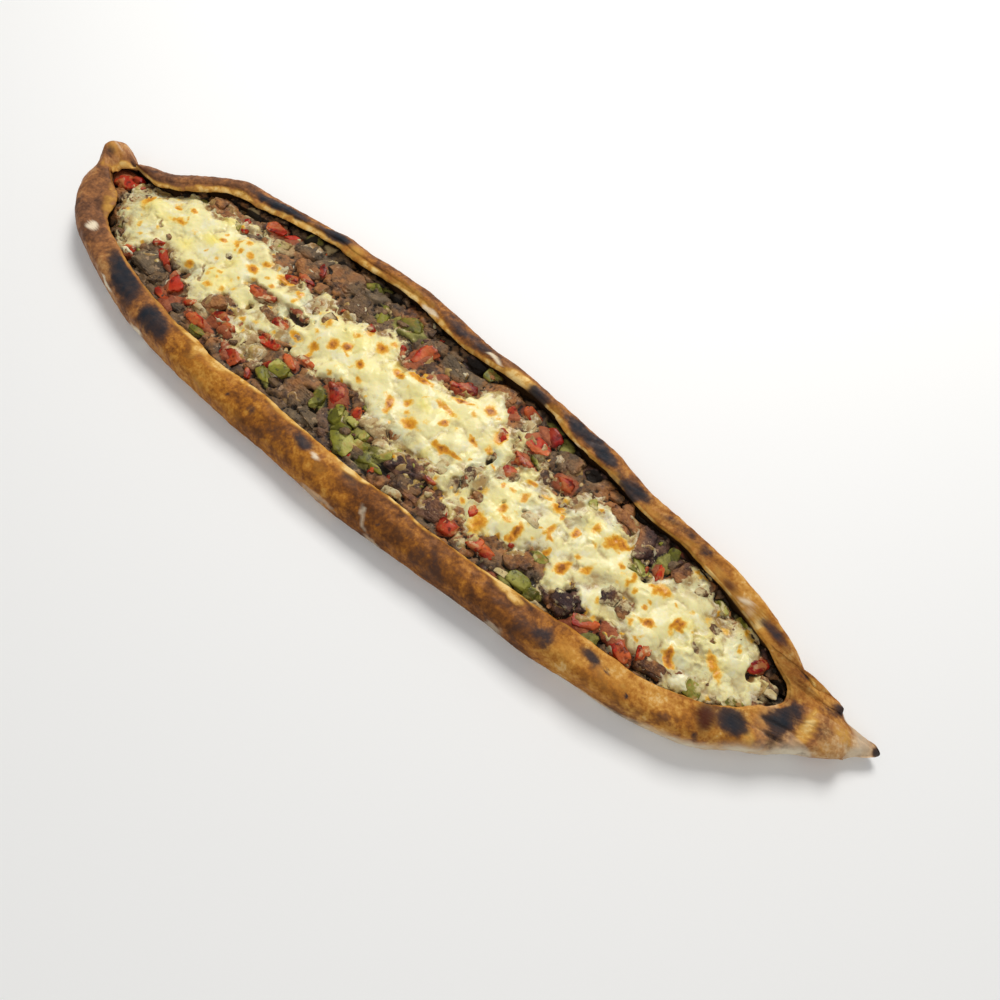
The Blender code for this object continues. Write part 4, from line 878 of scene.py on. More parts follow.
def packed_lumps(seeds):
    """For every cell: its nearest lump, the distances to that and to the next one, and where the cell is on its lump.

    Distances are counted in each lump's own half lengths and half widths, on a plan that noise has bent.
    """
    first, second = np.full(PX.shape, 9.0), np.full(PX.shape, 9.0)
    owner, along, aside = np.zeros(PX.shape, int), np.zeros(PX.shape), np.zeros(PX.shape)
    bent_px = PX + 1.6 * MM * flat_rough(PX, PY, 7 * MM, 71, 3, 0.6)
    bent_py = PY + 1.6 * MM * flat_rough(PX, PY, 7 * MM, 72, 3, 0.6)
    for n, (x0, y0, length, width, turn) in enumerate(seeds):
        reach = 1.6 * max(length, width)
        i = slice(*np.clip(((np.array([x0 - reach, x0 + reach]) * MM - map_x[0]) / CELL).astype(int), 0, len(map_x)))
        j = slice(*np.clip(((np.array([y0 - reach, y0 + reach]) * MM - map_y[0]) / CELL).astype(int), 0, len(map_y)))
        dx, dy = bent_px[i, j] / MM - x0, bent_py[i, j] / MM - y0
        c, s = math.cos(math.radians(turn)), math.sin(math.radians(turn))
        u, v = (dx * c + dy * s) / (length / 2), (dy * c - dx * s) / (width / 2)
        d = (np.abs(u) ** 2.6 + np.abs(v) ** 2.6) ** (1 / 2.6)
        nearer = d < first[i, j]
        second[i, j] = np.where(nearer, first[i, j], np.minimum(second[i, j], d))
        for target, value in ((first, d), (owner, n), (along, u), (aside, v)):
            target[i, j] = np.where(nearer, value, target[i, j])
    return owner, first, second, along, aside


PITS = ((-97, -1.5, 7, 2.2, 0, 1), (-88, -1, 3, 3.4, 0, 1), (-121, -13.5, 2.4, 1.8, -40, 1), (-82.5, -18, 2, 1.6, 0, 1),
    (49, 3, 2.2, 3, 0, 1), (-226, -26, 3, 5, -30, 1), (-197, -36.5, 3, 3, 0, 1), (12, -36.5, 5, 2, 0, 1), (151, 5, 2, 1.4, 0, 1),
    (216, 2, 4, 3, -30, 1), (95, 36.5, 4, 3.5, 0, 1), (124, 33.5, 10, 2, 0, 1), (4, 46.5, 8, 4, 0, 1), (-188, 36, 22, 3, 8, 1),
    (-134, 47, 4, 4, 0, 1), (-107, 43, 4, 6, 0, 1), (-66, 51, 8, 2.5, 0, 1), (-229, 14, 6, 3, 30, 1), (57, -38, 1, 4, 20, 1),
    (228, 4, 5, 5, 0, 1), (-42, -38, 2, 5, 20, 1), (-52, -30, 2, 3, 30, 1))
seeds = [(x0, y0, 1.1 * length, 1.1 * width, turn) for _, x0, y0, length, width, turn in TOPPINGS + EXTRA_PIECES]
kinds = [LUMP_KINDS[row[0]] for row in TOPPINGS + EXTRA_PIECES]
free_x, free_y = np.meshgrid(np.arange(-252, 236, 10.5), np.arange(-58, 60, 10), indexing="ij")
free_x = free_x.ravel() + chance.uniform(-4.4, 4.4, free_x.size)
free_y = free_y.ravel() + chance.uniform(-4.4, 4.4, free_y.size)
for x0, y0 in zip(free_x, free_y):
    taken = min(math.hypot(x0 - a, y0 - b) - 0.25 * (length + width) for a, b, length, width, _ in seeds[:len(TOPPINGS + EXTRA_PIECES)])
    length, width, turn = chance.uniform(11, 20), chance.uniform(8, 13), chance.uniform(0, 180)
    kind = chance.choice(4, p=[0.83, 0.05, 0.06, 0.06])
    if taken > 1.5 and float(read_map(wall_depth, np.array(x0 * MM), np.array(y0 * MM))) > -4 * MM:
        seeds.append((x0, y0, length, width, turn))
        kinds.append(kind)
owner, first, second, along, aside = packed_lumps(seeds)
count = len(seeds)
level, lean, roll = chance.uniform(-0.8, 0.8, count), chance.uniform(-0.9, 0.9, count), chance.uniform(-0.8, 0.8, count)
tones = [chosen_tone(seed[0], seed[1], tone) for seed, tone in zip(seeds, chance.uniform(0, 1, count))]
lump_tone, lump_kind = np.array(tones)[owner], np.array(kinds)[owner]
gap = np.exp(-(((second - first) / 0.15) ** 2))
is_meat = lump_kind == 0
open_gap = 0.5 + 1.8 * smooth_step(-0.2, 0.4, flat_rough(PX, PY, 11 * MM, 33, 2))
lump = 2.3 + level[owner] + lean[owner] * along + roll[owner] * aside - 0.8 * first**2 - open_gap * gap
torn = np.abs(flat_rough(PX, PY, 5.2 * MM, 34, 3, 0.6))
lump += np.where(is_meat, 1.5, 0.5) * (0.3 - torn) + np.where(is_meat, 0.55, 0.2) * flat_rough(PX, PY, 2.4 * MM, 31, 3, 0.65)
lump -= np.where(is_meat, 1.2, 0.2) * smooth_step(0.33, 0.6, flat_rough(PX, PY, 3.0 * MM, 36, 2, 0.5))
pits = spots(PX + 1.5 * MM * flat_rough(PX, PY, 4 * MM, 35), PY, PITS, 0.4)
heap = core + (lump - 3.2 * pits) * MM


def press(height, x0, y0, length, width, thick, turn, low):
    """Raise the map to a lump: low + thick * sqrt(1 - r^3), r being 1 on an oval, where that is higher."""
    reach = 0.75 * max(length, width)
    i = slice(*np.clip(((np.array([x0 - reach, x0 + reach]) - map_x[0]) / CELL).astype(int), 0, len(map_x)))
    j = slice(*np.clip(((np.array([y0 - reach, y0 + reach]) - map_y[0]) / CELL).astype(int), 0, len(map_y)))
    dx, dy = PX[i, j] - x0, PY[i, j] - y0
    c, s = math.cos(math.radians(turn)), math.sin(math.radians(turn))
    r = np.hypot((dx * c + dy * s) / (length / 2), (dy * c - dx * s) / (width / 2))
    top = low + thick * np.sqrt(np.clip(1 - r**3, 0, 1))
    wins = (r < 1) & (top > height[i, j])
    height[i, j][wins] = top[wins]


print(count, "lumps packed side by side, heap up to", round(float(heap.max() / MM), 1), "mm")

# %% [markdown]
# ## The bed as a mesh
# The bed is a sheet of points that runs from each rib of the near wall straight across to the far wall. It reads its
# height from the map, and ends a little under the lip, so no gap shows there. Its sides go down to the bread's
# floor, and its bottom is closed by faces straight across.

# %% Bed mesh
ROWS_ACROSS = 118
half = RIBS // 2
take = np.linspace(2, half - 2, 690)
near_side = np.stack([np.interp(take, np.arange(RIBS), bed_ring[:, k]) for k in (0, 1)], -1)
far_side = np.stack([np.interp(RIBS - take, np.arange(RIBS), bed_ring[:, k]) for k in (0, 1)], -1)
share = np.linspace(0, 1, ROWS_ACROSS)[:, None, None]
bed_xy = near_side[None] * (1 - share) + far_side[None] * share
bed_z = read_map(heap, bed_xy[..., 0], bed_xy[..., 1])
edge_drop = np.minimum(share[..., 0], 1 - share[..., 0]) < 0.5 / ROWS_ACROSS
bed_z = np.where(edge_drop, FLOOR + 0.4 * MM, bed_z)
bed_z[:, [0, -1]] = FLOOR + 0.4 * MM
columns = len(take)
top_quads = grid_faces(ROWS_ACROSS, columns, False)[:, ::-1]
c = np.arange(columns - 1)
last = (ROWS_ACROSS - 1) * columns
floor_quads = np.stack([c, c + 1, last + c + 1, last + c], -1)
r = np.arange(ROWS_ACROSS) * columns
end_rings = [r[None, :], (r + columns - 1)[None, ::-1]]
kind_here = lump_kind[np.clip(((bed_xy[..., 0] - map_x[0]) / CELL).round().astype(int), 0, len(map_x) - 1),
                      np.clip(((bed_xy[..., 1] - map_y[0]) / CELL).round().astype(int), 0, len(map_y) - 1)]
tone_here = lump_tone[np.clip(((bed_xy[..., 0] - map_x[0]) / CELL).round().astype(int), 0, len(map_x) - 1),
                      np.clip(((bed_xy[..., 1] - map_y[0]) / CELL).round().astype(int), 0, len(map_y) - 1)]
# crease: painted shade in the bed's hollows between lumps, in its pits and along the far wall under the lip
crease_shade_here = (read_map(blurred(heap, 2.0 * MM), bed_xy[..., 0], bed_xy[..., 1]) - bed_z) / MM
crease_shade_here += 2.0 * read_map(pits, bed_xy[..., 0], bed_xy[..., 1])
crease_shade_here += 1.3 * share[..., 0] * smooth_step(5.0 * MM, 0.5 * MM, read_map(wall_depth, bed_xy[..., 0], bed_xy[..., 1]))
bed = new_piece("filling_bed", np.stack([bed_xy[..., 0], bed_xy[..., 1], bed_z], -1),
                [np.vstack([top_quads[:, ::-1], floor_quads[:, ::-1]]), end_rings[0], end_rings[1]],
                tone=tone_here, tomato=kind_here == 1, pepper=kind_here == 2, pale=kind_here == 3,
                film=read_map(film, bed_xy[..., 0], bed_xy[..., 1]), stain=read_map(stain, bed_xy[..., 0], bed_xy[..., 1]),
                crease=np.clip(crease_shade_here, 0, 2))
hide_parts("filling")

# %% [markdown]
# ## Cut pieces of meat and vegetable
# Every diced piece starts from one closed shape, a squared ball: directions on a ball whose sines and cosines are
# raised to a power, so that a low power gives flat sides and blunt corners. Bending it gives a curl of pepper, and
# noise gives torn meat. The poles lie at the two ends of the piece, where they don't show.


# %% Squared balls
def ball_faces(rings, columns):
    """Faces of a ball: a pole, rings of points round the length, and a pole."""
    inner = grid_faces(rings, columns, True) + 1
    c = np.arange(columns)
    first = np.stack([0 * c, (c + 1) % columns + 1, c + 1], -1)
    base = 1 + (rings - 1) * columns
    last = np.stack([base + c, base + (c + 1) % columns, 0 * c + base + columns], -1)
    return [inner, first[:, ::-1], last]


def squared_ball(rings, columns, power):
    """Points with x = cos u, y = sin u cos v, z = sin u sin v, each part raised to the power but keeping its sign."""
    u = np.concatenate([[0], (np.arange(rings) + 0.5) / rings * math.pi, [math.pi]])
    v = np.arange(columns) / columns * 2 * math.pi

    def part(w):
        return np.sign(w) * np.abs(w) ** power

    ring_x = np.repeat(part(np.cos(u[1:-1]))[:, None], columns, 1)
    ring = np.stack([-ring_x, part(np.sin(u[1:-1]))[:, None] * part(np.cos(v)), part(np.sin(u[1:-1]))[:, None] * part(np.sin(v))], -1)
    return np.concatenate([[[-1.0, 0, 0]], ring.reshape(-1, 3), [[1.0, 0, 0]]])


KINDS = {  # squareness power, thickness in mm, flat cuts, bend, noise strength and size in mm, fine noise strength
    "meat": (0.62, 5.0, 5, 0.04, 0.34, 5.0, 0.09),
    "tomato": (0.66, 3.8, 7, 0.10, 0.26, 4.0, 0.05),
    "red_pepper": (0.55, 3.2, 6, 0.18, 0.2, 5.0, 0.04),
    "green_pepper": (0.5, 3.6, 6, 0.12, 0.2, 4.5, 0.04),
    "onion": (0.66, 2.8, 5, 0.2, 0.2, 4.0, 0.05),
}


def cut_pieces(kind, places, rings, columns, seed):
    """Points (pieces, points, 3) of cut pieces and how much of each is skin, given x, y, top, length, width, turn.

    A squared ball gets flat faces (points past a plane move back onto it), is scaled to its sides and pushed out or
    in by noise. Then it is bent so that its height changes by bend * width * x^2, tilted, turned, and set in place.
    """
    power, thick, cuts, bend, rough_share, rough_size, fine_share = KINDS[kind]
    ball = squared_ball(rings, columns, power)
    px, py, top, length, width, turn = (np.asarray(v)[:, None] for v in zip(*places))
    rng = np.random.default_rng(seed)
    n = len(places)
    p = np.repeat(ball[None], n, 0)
    for k in range(cuts):
        d = rng.normal(size=(n, 1, 3)) * np.array([0.8, 1.0, 0.75 if k else 0.1])
        d /= np.linalg.norm(d, axis=-1, keepdims=True)
        reach = (p * d).sum(-1)
        limit = reach.max(1, keepdims=True) * rng.uniform(0.45, 0.85, (n, 1))
        p = p - d * (0.93 * np.maximum(reach - limit, 0))[..., None]
    p /= np.abs(p).max(1, keepdims=True)
    facing = rng.normal(size=(n, 1, 3))
    facing /= np.linalg.norm(facing, axis=-1, keepdims=True)
    skin_share = smooth_step(-0.1, 0.45, (p * facing).sum(-1) + 0.25 * rng.normal(size=(n, 1)))
    thick = np.minimum(thick * MM * rng.uniform(0.8, 1.15, (n, 1)), 0.7 * width)
    across_x = p[..., 0]
    p = p * np.stack([length / 2, width / 2 + 0 * length, thick / 2 + 0 * length], -1)
    away = rng.uniform(0, 5, (n, 1, 3))
    shape = rough(p + away, rough_size * MM, seed, 3, 0.6)
    fine = 1 - 2 * np.abs(rough(p * np.array([0.7, 1.3, 1.3]) + away, 2.2 * MM, seed + 9, 2, 0.6))
    p = p * (1 + rough_share * shape + fine_share * fine)[..., None]
    bow = rng.choice([-1.0, 1.0], (n, 1)) * bend * rng.uniform(0.4, 1.2, (n, 1))
    p[..., 2] += bow * width * (across_x**2 - 0.4)
    p[..., 1] += bend * 0.6 * rng.uniform(-1, 1, (n, 1)) * width * across_x**2
    lean, roll = rng.uniform(-0.14, 0.14, (n, 1)), rng.uniform(-0.22, 0.22, (n, 1))
    p[..., 2] += lean * p[..., 0] + roll * p[..., 1]
    c, s = np.cos(np.radians(turn)), np.sin(np.radians(turn))
    gx, gy = p[..., 0] * c - p[..., 1] * s + px, p[..., 0] * s + p[..., 1] * c + py
    gz = p[..., 2] - p[..., 2].max(1, keepdims=True) + top
    return np.stack([gx, gy, gz], -1), skin_share


# %% [markdown]
# ## Setting the large pieces
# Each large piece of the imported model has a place, a size and a direction in the table, and its height comes from
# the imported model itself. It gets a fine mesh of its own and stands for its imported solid. The map is raised at the
# same places, because the cheese has to drape over the pieces.

# %% Large pieces
FILM_SHARE = {"meat": 0.8, "tomato": 0.5, "green_pepper": 0.75, "red_pepper": 0.35, "onion": 0.9}
finishes_wanted = {}
under_piece = np.zeros(PX.shape)
counted = dict.fromkeys(KINDS, 0)
for index, (kind, tx, ty, length, width, turn) in enumerate(TOPPINGS):
    counted[kind] += 1
    node = f"{kind}_{counted[kind]:02d}"
    low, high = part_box(node)
    here = float(read_map(heap, np.array(tx * MM), np.array(ty * MM)))
    top = min(high.z - 0.6 * MM, max(here + (1.9 if kind == "meat" else 1.4) * MM, high.z - 2.5 * MM))
    place = (tx * MM, ty * MM, top, length * MM, width * MM, float(turn))
    points, skin_here = cut_pieces(kind, [place], 34, 42, 500 + index)
    piece = new_piece(f"{kind}_piece_{counted[kind]:02d}", points[0], ball_faces(34, 42),
                      skin=skin_here[0], film=FILM_SHARE[kind] * read_map(film, points[0][:, 0], points[0][:, 1]),
                      stain=read_map(stain, points[0][:, 0], points[0][:, 1]), tone=np.full(len(points[0]), chosen_tone(tx, ty, chance.uniform(0, 1))),
                      height=(points[0][:, 2] - points[0][:, 2].min()) / np.ptp(points[0][:, 2]))
    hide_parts(node)
    finishes_wanted.setdefault(kind, []).append(piece)
    press(heap, tx * MM, ty * MM, length * MM, width * MM, 2.0 * MM, turn, top - 2.3 * MM)
    press(under_piece, tx * MM, ty * MM, length * MM, width * MM, 1.0, turn, 1.0)
print("large pieces:", counted)

# %% [markdown]
# ## Melted cheese
# Grated cheese melts into one sheet with fluffy lumps, thin grey-white veils where it ran over the filling, and
# holes where something pokes through. Its thickness is a map: the distance to the sheet's ragged edge, lumps of
# noise, less at the veils and below zero in the holes. The sheet is then laid over a softened copy of the heap, and
# wherever its thickness is below zero it sinks under the filling, so every edge is the true line where they meet.

# %% Thickness of the cheese
veil = spots(wx, wy, VEIL_MARKS, 0.6)
holes = spots(wx, wy, HOLES, 0.4)
thickness = 2.0 * (1 - np.exp(-np.clip(within, 0, None) / 2.6)) + 0.8 * np.minimum(within, 0)
billow = np.abs(flat_rough(wx, wy, 13 * MM, 51, 2, 0.45))
curd = np.abs(flat_rough(wx, wy, 5.4 * MM, 52, 1, 0.5))
relief = 1.9 * (billow - 0.25) + 0.35 * (curd - 0.25) + 0.07 * flat_rough(PX, PY, 2.2 * MM, 55, 2)
thickness += relief * (0.45 + 0.55 * smooth_step(0, 4, within))
sheer = smooth_step(0.1, 0.5, flat_rough(wx, wy, 9 * MM, 56, 3, 0.6)) * np.interp(PX / MM, (-240, -200, -150, 30, 60, 240), (0.6, 0.4, 0.15, 0.15, 0.7, 0.9))
thickness -= 1.1 * sheer
thickness -= 1.25 * veil * (0.75 + 0.6 * flat_rough(PX, PY, 6 * MM, 53, 3, 0.6)) + 4.0 * holes
thickness = np.maximum(thickness, np.minimum(strand - 0.15 - 3.0 * holes, 0.6))
thickness = np.maximum(thickness, -3.2)
on_sheet = smooth_step(-1.0, 2.5, within)
cheese_bed = on_sheet * blurred(heap, 3.2 * MM) + (1 - on_sheet) * blurred(heap, 0.8 * MM)
cheese_top = cheese_bed + np.minimum(thickness, 3.2) * MM
cheese_top += 0.05 * MM * flat_rough(PX, PY, 1.3 * MM, 54, 2)
cheese_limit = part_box("cheese")[1].z + 0.5 * MM
cheese_top = np.minimum(cheese_top, cheese_limit)
print("cheese covers", round(float((cheese_top > heap).sum() * CELL**2 * 1e4), 1), "square cm")

# %% Cheese sheets
CHEESE_PARTS = {"cheese_left": (-244, -98), "cheese_middle": (-98, 57), "cheese_right": (57, 224)}
PITCH = 0.45 * MM
ACROSS = 200
bed_low = np.interp(map_x, near_side[::4, 0], near_side[::4, 1])
bed_high = np.interp(map_x, far_side[::4, 0], far_side[::4, 1])
small_blisters = [(chance.uniform(-236, 222), chance.uniform(-30, 30), chance.uniform(1.2, 2.6), chance.uniform(0.8, 1.6),
                   chance.uniform(0, 180), chance.uniform(0.3, 0.75)) for _ in range(230)]
cheese_pieces = []
for name, (start, end) in CHEESE_PARTS.items():
    xs = np.linspace(start * MM, end * MM, int((end - start) * MM / PITCH))
    low_line = np.minimum(np.interp(xs, map_x, bed_low) + 2.5 * MM, np.interp(xs, edge_x, edge_low) - 2 * MM)
    high_line = np.maximum(np.interp(xs, map_x, bed_high) - 2.5 * MM, np.interp(xs, edge_x, edge_high) + 2 * MM)
    share = np.linspace(0, 1, ACROSS)
    gy = low_line[:, None] * (1 - share) + high_line[:, None] * share
    gx = xs[:, None] + 0 * gy
    gz = read_map(cheese_top, gx, gy)
    under = read_map(core, gx[:, [0, -1]], gy[:, [0, -1]]) - 2.5 * MM
    gz[:, [0, -1]] = np.minimum(under, gz[:, [0, -1]] - 1 * MM)
    points = np.stack([gx, gy, gz], -1)
    n, m = gz.shape
    i = np.arange(n - 1)
    bottom = np.stack([i * m, i * m + m - 1, (i + 1) * m + m - 1, (i + 1) * m], -1)
    ends = [np.arange(m)[None, ::-1], ((n - 1) * m + np.arange(m))[None]]
    piece = new_piece(name, points, [np.vstack([grid_faces(n, m, False)[:, ::-1], bottom]), *ends],
                      thick=read_map(thickness, gx, gy), relief=read_map(relief, gx, gy),
                      veil=read_map(np.maximum(veil, 0.8 * sheer), gx, gy),
                      blister=spots(gx + 1.0 * MM * flat_rough(gx, gy, 4 * MM, 61, 3, 0.6),
                                    gy + 1.0 * MM * flat_rough(gx, gy, 4 * MM, 62, 3, 0.6), (*BLISTERS, *small_blisters), 0.8),
                      butter=spots(gx, gy, BUTTER_MARKS, 0.8))
    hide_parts("cheese")
    cheese_pieces.append(piece)

# %% [markdown]
# ## Smaller pieces and crumbs
# Between the large pieces lie smaller ones, each with a place in the table, and hundreds of crumbs that fell where
# they liked. A crumb is only a few millimetres, so a few dozen faces are enough for it. They are joined by kind.


# %% Smaller pieces, joined by kind
def joined(name, kind, cut, faces, tones):
    """One mesh of many pieces that share one list of faces."""
    points, skin_here = cut
    n, size = points.shape[:2]
    many = [(f[None] + (np.arange(n) * size)[:, None, None]).reshape(-1, f.shape[1]) for f in faces]
    z = points[..., 2]
    height = (z - z.min(1, keepdims=True)) / np.ptp(z, axis=1)[:, None]
    piece = new_piece(name, points, many, skin=skin_here, tone=np.repeat(tones, size), height=height,
                      film=FILM_SHARE[kind] * read_map(film, points[..., 0], points[..., 1]), stain=read_map(stain, points[..., 0], points[..., 1]))
    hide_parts("filling")
    finishes_wanted.setdefault(kind, []).append(piece)
    return piece


POKING = (  # pieces that stand a little out of the cheese
    ("meat", 141, -13, 8, 11, 10), ("meat", 152, -15, 8, 8, 0), ("tomato", 170, -24, 6, 12, -15), ("tomato", -120, -3, 17, 6, 18),
    ("tomato", -95.5, -10, 14, 8, 5), ("meat", -110, -9, 12, 7, 0), ("tomato", -93, -22, 14, 6, 10), ("meat", -89, 11, 7, 9, 30),
    ("meat", -78, 11, 8, 10, 0), ("meat", 47, -9, 7, 10, 20), ("red_pepper", 88, -24, 4, 3, 0), ("green_pepper", 105, -19.5, 10, 5, 10),
    ("tomato", 46, 18, 6, 11, 10), ("green_pepper", 106, 23, 7, 6, 0), ("green_pepper", 143, 8, 11, 5, 15), ("tomato", 154, 13, 5, 10, 20),
    ("meat", 193, 2, 5, 7, 0), ("meat", 64, 4, 7, 9, 0), ("onion", 35, -15, 10, 8, 0), ("onion", 88, -6, 12, 7, 0),
    ("meat", 190, 9, 8, 6, 0), ("green_pepper", 198, -22, 9, 9, 0), ("meat", -196, -10, 5, 4, 0), ("green_pepper", -22, -27, 8, 5, 0),
    ("tomato", -57, 24, 6, 5, 0), ("green_pepper", 214, -16, 9, 7, 0), ("meat", 176, 20, 7, 6, 0), ("tomato", 62, -24, 5, 8, 0),
    ("tomato", -198, -18, 9, 8, 0), ("green_pepper", 8, -24, 6, 5, 0), ("meat", 57, -14, 6, 5, 0), ("red_pepper", -249, 6, 9, 6, 20),
)
for kind in KINDS:
    rows = [row for row in EXTRA_PIECES + POKING if row[0] == kind]
    places = []
    for _, ex, ey, length, width, turn in rows:
        top = float(read_map(heap, np.array(ex * MM), np.array(ey * MM))) + 1.0 * MM
        over = float(read_map(cheese_top, np.array(ex * MM), np.array(ey * MM))) + 1.2 * MM
        top = max(top, over) if (kind, ex, ey, length, width, turn) in POKING else top
        places.append((ex * MM, ey * MM, min(top, 17.2 * MM), length * MM, width * MM, float(turn)))
    cut = cut_pieces(kind, places, 24, 30, 900 + len(rows))
    joined(f"{kind}_bits", kind, cut, ball_faces(24, 30), chance.uniform(0, 1, len(rows)))

# %% Crumbs
CRUMBS = {"meat": (80, 2.6, 5.5), "tomato": (14, 2.4, 5.0), "green_pepper": (12, 2.4, 5.0), "red_pepper": (5, 2.4, 4.0),
          "onion": (24, 2.2, 4.4)}
room = (wall_depth > 3.5 * MM) & (cheese_top < heap + 0.2 * MM) & (under_piece == 0)
cells_i, cells_j = np.nonzero(room)
for kind, (number, small, big) in CRUMBS.items():
    pick = chance.integers(0, len(cells_i), number)
    cx, cy = map_x[cells_i[pick]], map_y[cells_j[pick]]
    size = chance.uniform(small, big, number) * MM
    top = read_map(heap, cx, cy) + chance.uniform(0.25, 0.6, number) * MM * np.clip(size / (3 * MM), 0.5, 1.6)
    places = list(zip(cx, cy, top, size, size * chance.uniform(0.5, 0.9, number), chance.uniform(0, 180, number)))
    cut = cut_pieces(kind, places, 5, 8, 1300 + number)
    joined(f"{kind}_crumbs", kind, cut, ball_faces(5, 8), chance.uniform(0, 1, number))

# %% [markdown]
# ## Finishes of the filling
# Cooked minced meat is a dull grey-brown with pinkish and dark patches and a wet gleam. Tomato keeps a red skin and
# salmon flesh, peppers a glossy skin, and onion turns to a clear cream. The bed has all of them, chosen by the
# numbers stored with its lumps, with painted shade in its creases and pits and along the far wall under the lip.
# Every piece is also darkened low down with painted shade, where it sinks into the heap.


# %% Filling materials
def meat_colour(finish, tone, size=7 * MM):
    """Brown ramp over the piece's own tone plus noise, stained orange by oil where the stored number says so."""
    patch, fleck = finish.noise(size, 4, 0.65), finish.noise(1.5 * MM, 4, 0.7)
    level = finish.math("ADD", finish.math("MULTIPLY", tone, 0.42), finish.remap(patch, 0.33, 0.67, 0.0, 0.55))
    level = finish.math("ADD", level, finish.remap(fleck, 0.33, 0.67, -0.1, 0.14))
    ramp = finish.ramp(level, (0.05, ink(46, 30, 26)), (0.2, ink(70, 53, 42)), (0.42, ink(96, 75, 52)),
                       (0.62, ink(124, 97, 66)), (0.8, ink(98, 74, 54)), (0.97, ink(150, 120, 84)))
    ramp = finish.mix(finish.remap(tone, 0.74, 0.84, 0.0, 0.65), ramp,
                      finish.ramp(level, (0.3, ink(62, 54, 46)), (0.6, ink(92, 80, 62)), (0.9, ink(118, 102, 76))))
    ramp = finish.mix(finish.remap(tone, 0.2, 0.12, 0.0, 0.7), ramp,
                      finish.ramp(level, (0.0, ink(46, 26, 28)), (0.3, ink(82, 54, 50)), (0.6, ink(118, 84, 70))))
    pore = finish.noise(1.9 * MM, 2, 0.5)
    ramp = finish.mix(finish.remap(pore, 0.62, 0.68, 0.0, 0.8), ramp, ink(34, 24, 18))
    ramp = finish.mix(finish.remap(pore, 0.36, 0.30, 0.0, 0.55), ramp, ink(190, 156, 120))
    oil = finish.math("MULTIPLY", finish.number("stain"), finish.remap(patch, 0.38, 0.6, 0.1, 0.75))
    return finish.mix(oil, ramp, finish.ramp(fleck, (0.35, ink(146, 84, 40)), (0.65, ink(196, 132, 70)))), fleck


def filmed(finish, colour):
    """Thin cheese and fat wiped over a colour: the stored film, broken into shreds by noise."""
    veil_noise = finish.noise(2.6 * MM, 4, 0.6)
    share = finish.math("ADD", finish.number("film"), finish.remap(veil_noise, 0.35, 0.65, -0.55, 0.35))
    tint = finish.ramp(veil_noise, (0.4, ink(190, 156, 100)), (0.62, ink(228, 214, 164)))
    return finish.mix(finish.remap(share, 0.4, 0.95, 0.0, 0.68), colour, tint)


wet = {"Specular_IOR_Level": 0.27}
meat = Finish("cooked_meat", **wet)
ramp, fleck = meat_colour(meat, meat.number("tone"))
# painted shade: each piece of meat darkened on its low sides, where it sinks into the heap
ramp = meat.mix(meat.remap(meat.number("height"), 0.6, 0.15, 0.0, 0.7), filmed(meat, ramp), ink(50, 36, 25))
fibre = meat.noise(0.8 * MM, 3, 0.6, stretch=(0.5, 1.4, 1.4))
meat.set(Base_Color=ramp, Roughness=meat.remap(fleck, 0.3, 0.7, 0.38, 0.62),
         Normal=meat.bump(meat.math("ADD", fibre, meat.noise(2.4 * MM, 4, 0.7)), 1.1 * MM, 0.9))


def vegetable(name, skin_inks, flesh_inks, blot_and_shade_ink, roughness, size):
    """A wet vegetable: a skin side and a flesh side, each of two colours over noise, with painted shade low down."""
    finish = Finish(name, Specular_IOR_Level=0.22, Subsurface_Weight=0.08, Subsurface_Scale=0.002)
    finish.shader.inputs["Subsurface Radius"].default_value = (1.0, 0.5, 0.3)
    patch, fleck = finish.noise(size, 4, 0.65), finish.noise(1.4 * MM, 3, 0.6)
    level = finish.math("ADD", finish.math("MULTIPLY", finish.number("tone"), 0.4), finish.remap(patch, 0.33, 0.67, 0.0, 0.6))
    flesh = finish.ramp(level, (0.15, flesh_inks[0]), (0.85, flesh_inks[1]))
    peel = finish.ramp(level, (0.15, skin_inks[0]), (0.85, skin_inks[1]))
    edge = finish.math("ADD", finish.number("skin"), finish.remap(patch, 0.35, 0.65, -0.4, 0.4))
    colour = finish.mix(finish.remap(edge, 0.2, 0.8), flesh, peel)
    blot = finish.noise(2.2 * MM, 3, 0.6)
    colour = finish.mix(finish.remap(blot, 0.54, 0.66, 0.0, 0.75), colour, blot_and_shade_ink)
    colour = finish.mix(finish.math("MULTIPLY", finish.number("stain"), finish.remap(blot, 0.5, 0.38, 0.0, 0.6)), colour,
                        ink(178, 122, 66))
    colour = filmed(finish, colour)
    # painted shade: the piece darkened on its low sides, where it sinks into the heap
    colour = finish.mix(finish.remap(finish.number("height"), 0.55, 0.1, 0.0, 0.7), colour, blot_and_shade_ink)
    finish.set(Base_Color=colour, Roughness=finish.remap(patch, 0.3, 0.7, roughness, roughness + 0.25),
               Normal=finish.bump(finish.math("ADD", finish.math("MULTIPLY", fleck, 0.5), patch), 0.7 * MM, 0.7))
    return finish


finishes = {
    "meat": meat,
    "tomato": vegetable("stewed_tomato", (ink(98, 16, 6), ink(182, 44, 12)), (ink(146, 54, 24), ink(204, 98, 44)),
                        ink(64, 20, 10), 0.3, 5 * MM),
    "red_pepper": vegetable("red_pepper_skin", (ink(76, 8, 6), ink(164, 20, 10)), (ink(128, 30, 14), ink(184, 66, 32)),
                            ink(52, 12, 8), 0.26, 6 * MM),
    "green_pepper": vegetable("green_pepper_flesh", (ink(78, 76, 18), ink(130, 126, 32)), (ink(122, 120, 40), ink(182, 176, 92)),
                              ink(56, 50, 22), 0.34, 5 * MM),
    "onion": vegetable("soft_onion", (ink(168, 142, 88), ink(206, 186, 132)), (ink(176, 152, 104), ink(214, 202, 160)),
                       ink(110, 80, 44), 0.32, 4 * MM),
}
for kind, wanted in finishes_wanted.items():
    for piece in wanted:
        piece.data.materials.append(finishes[kind].material)

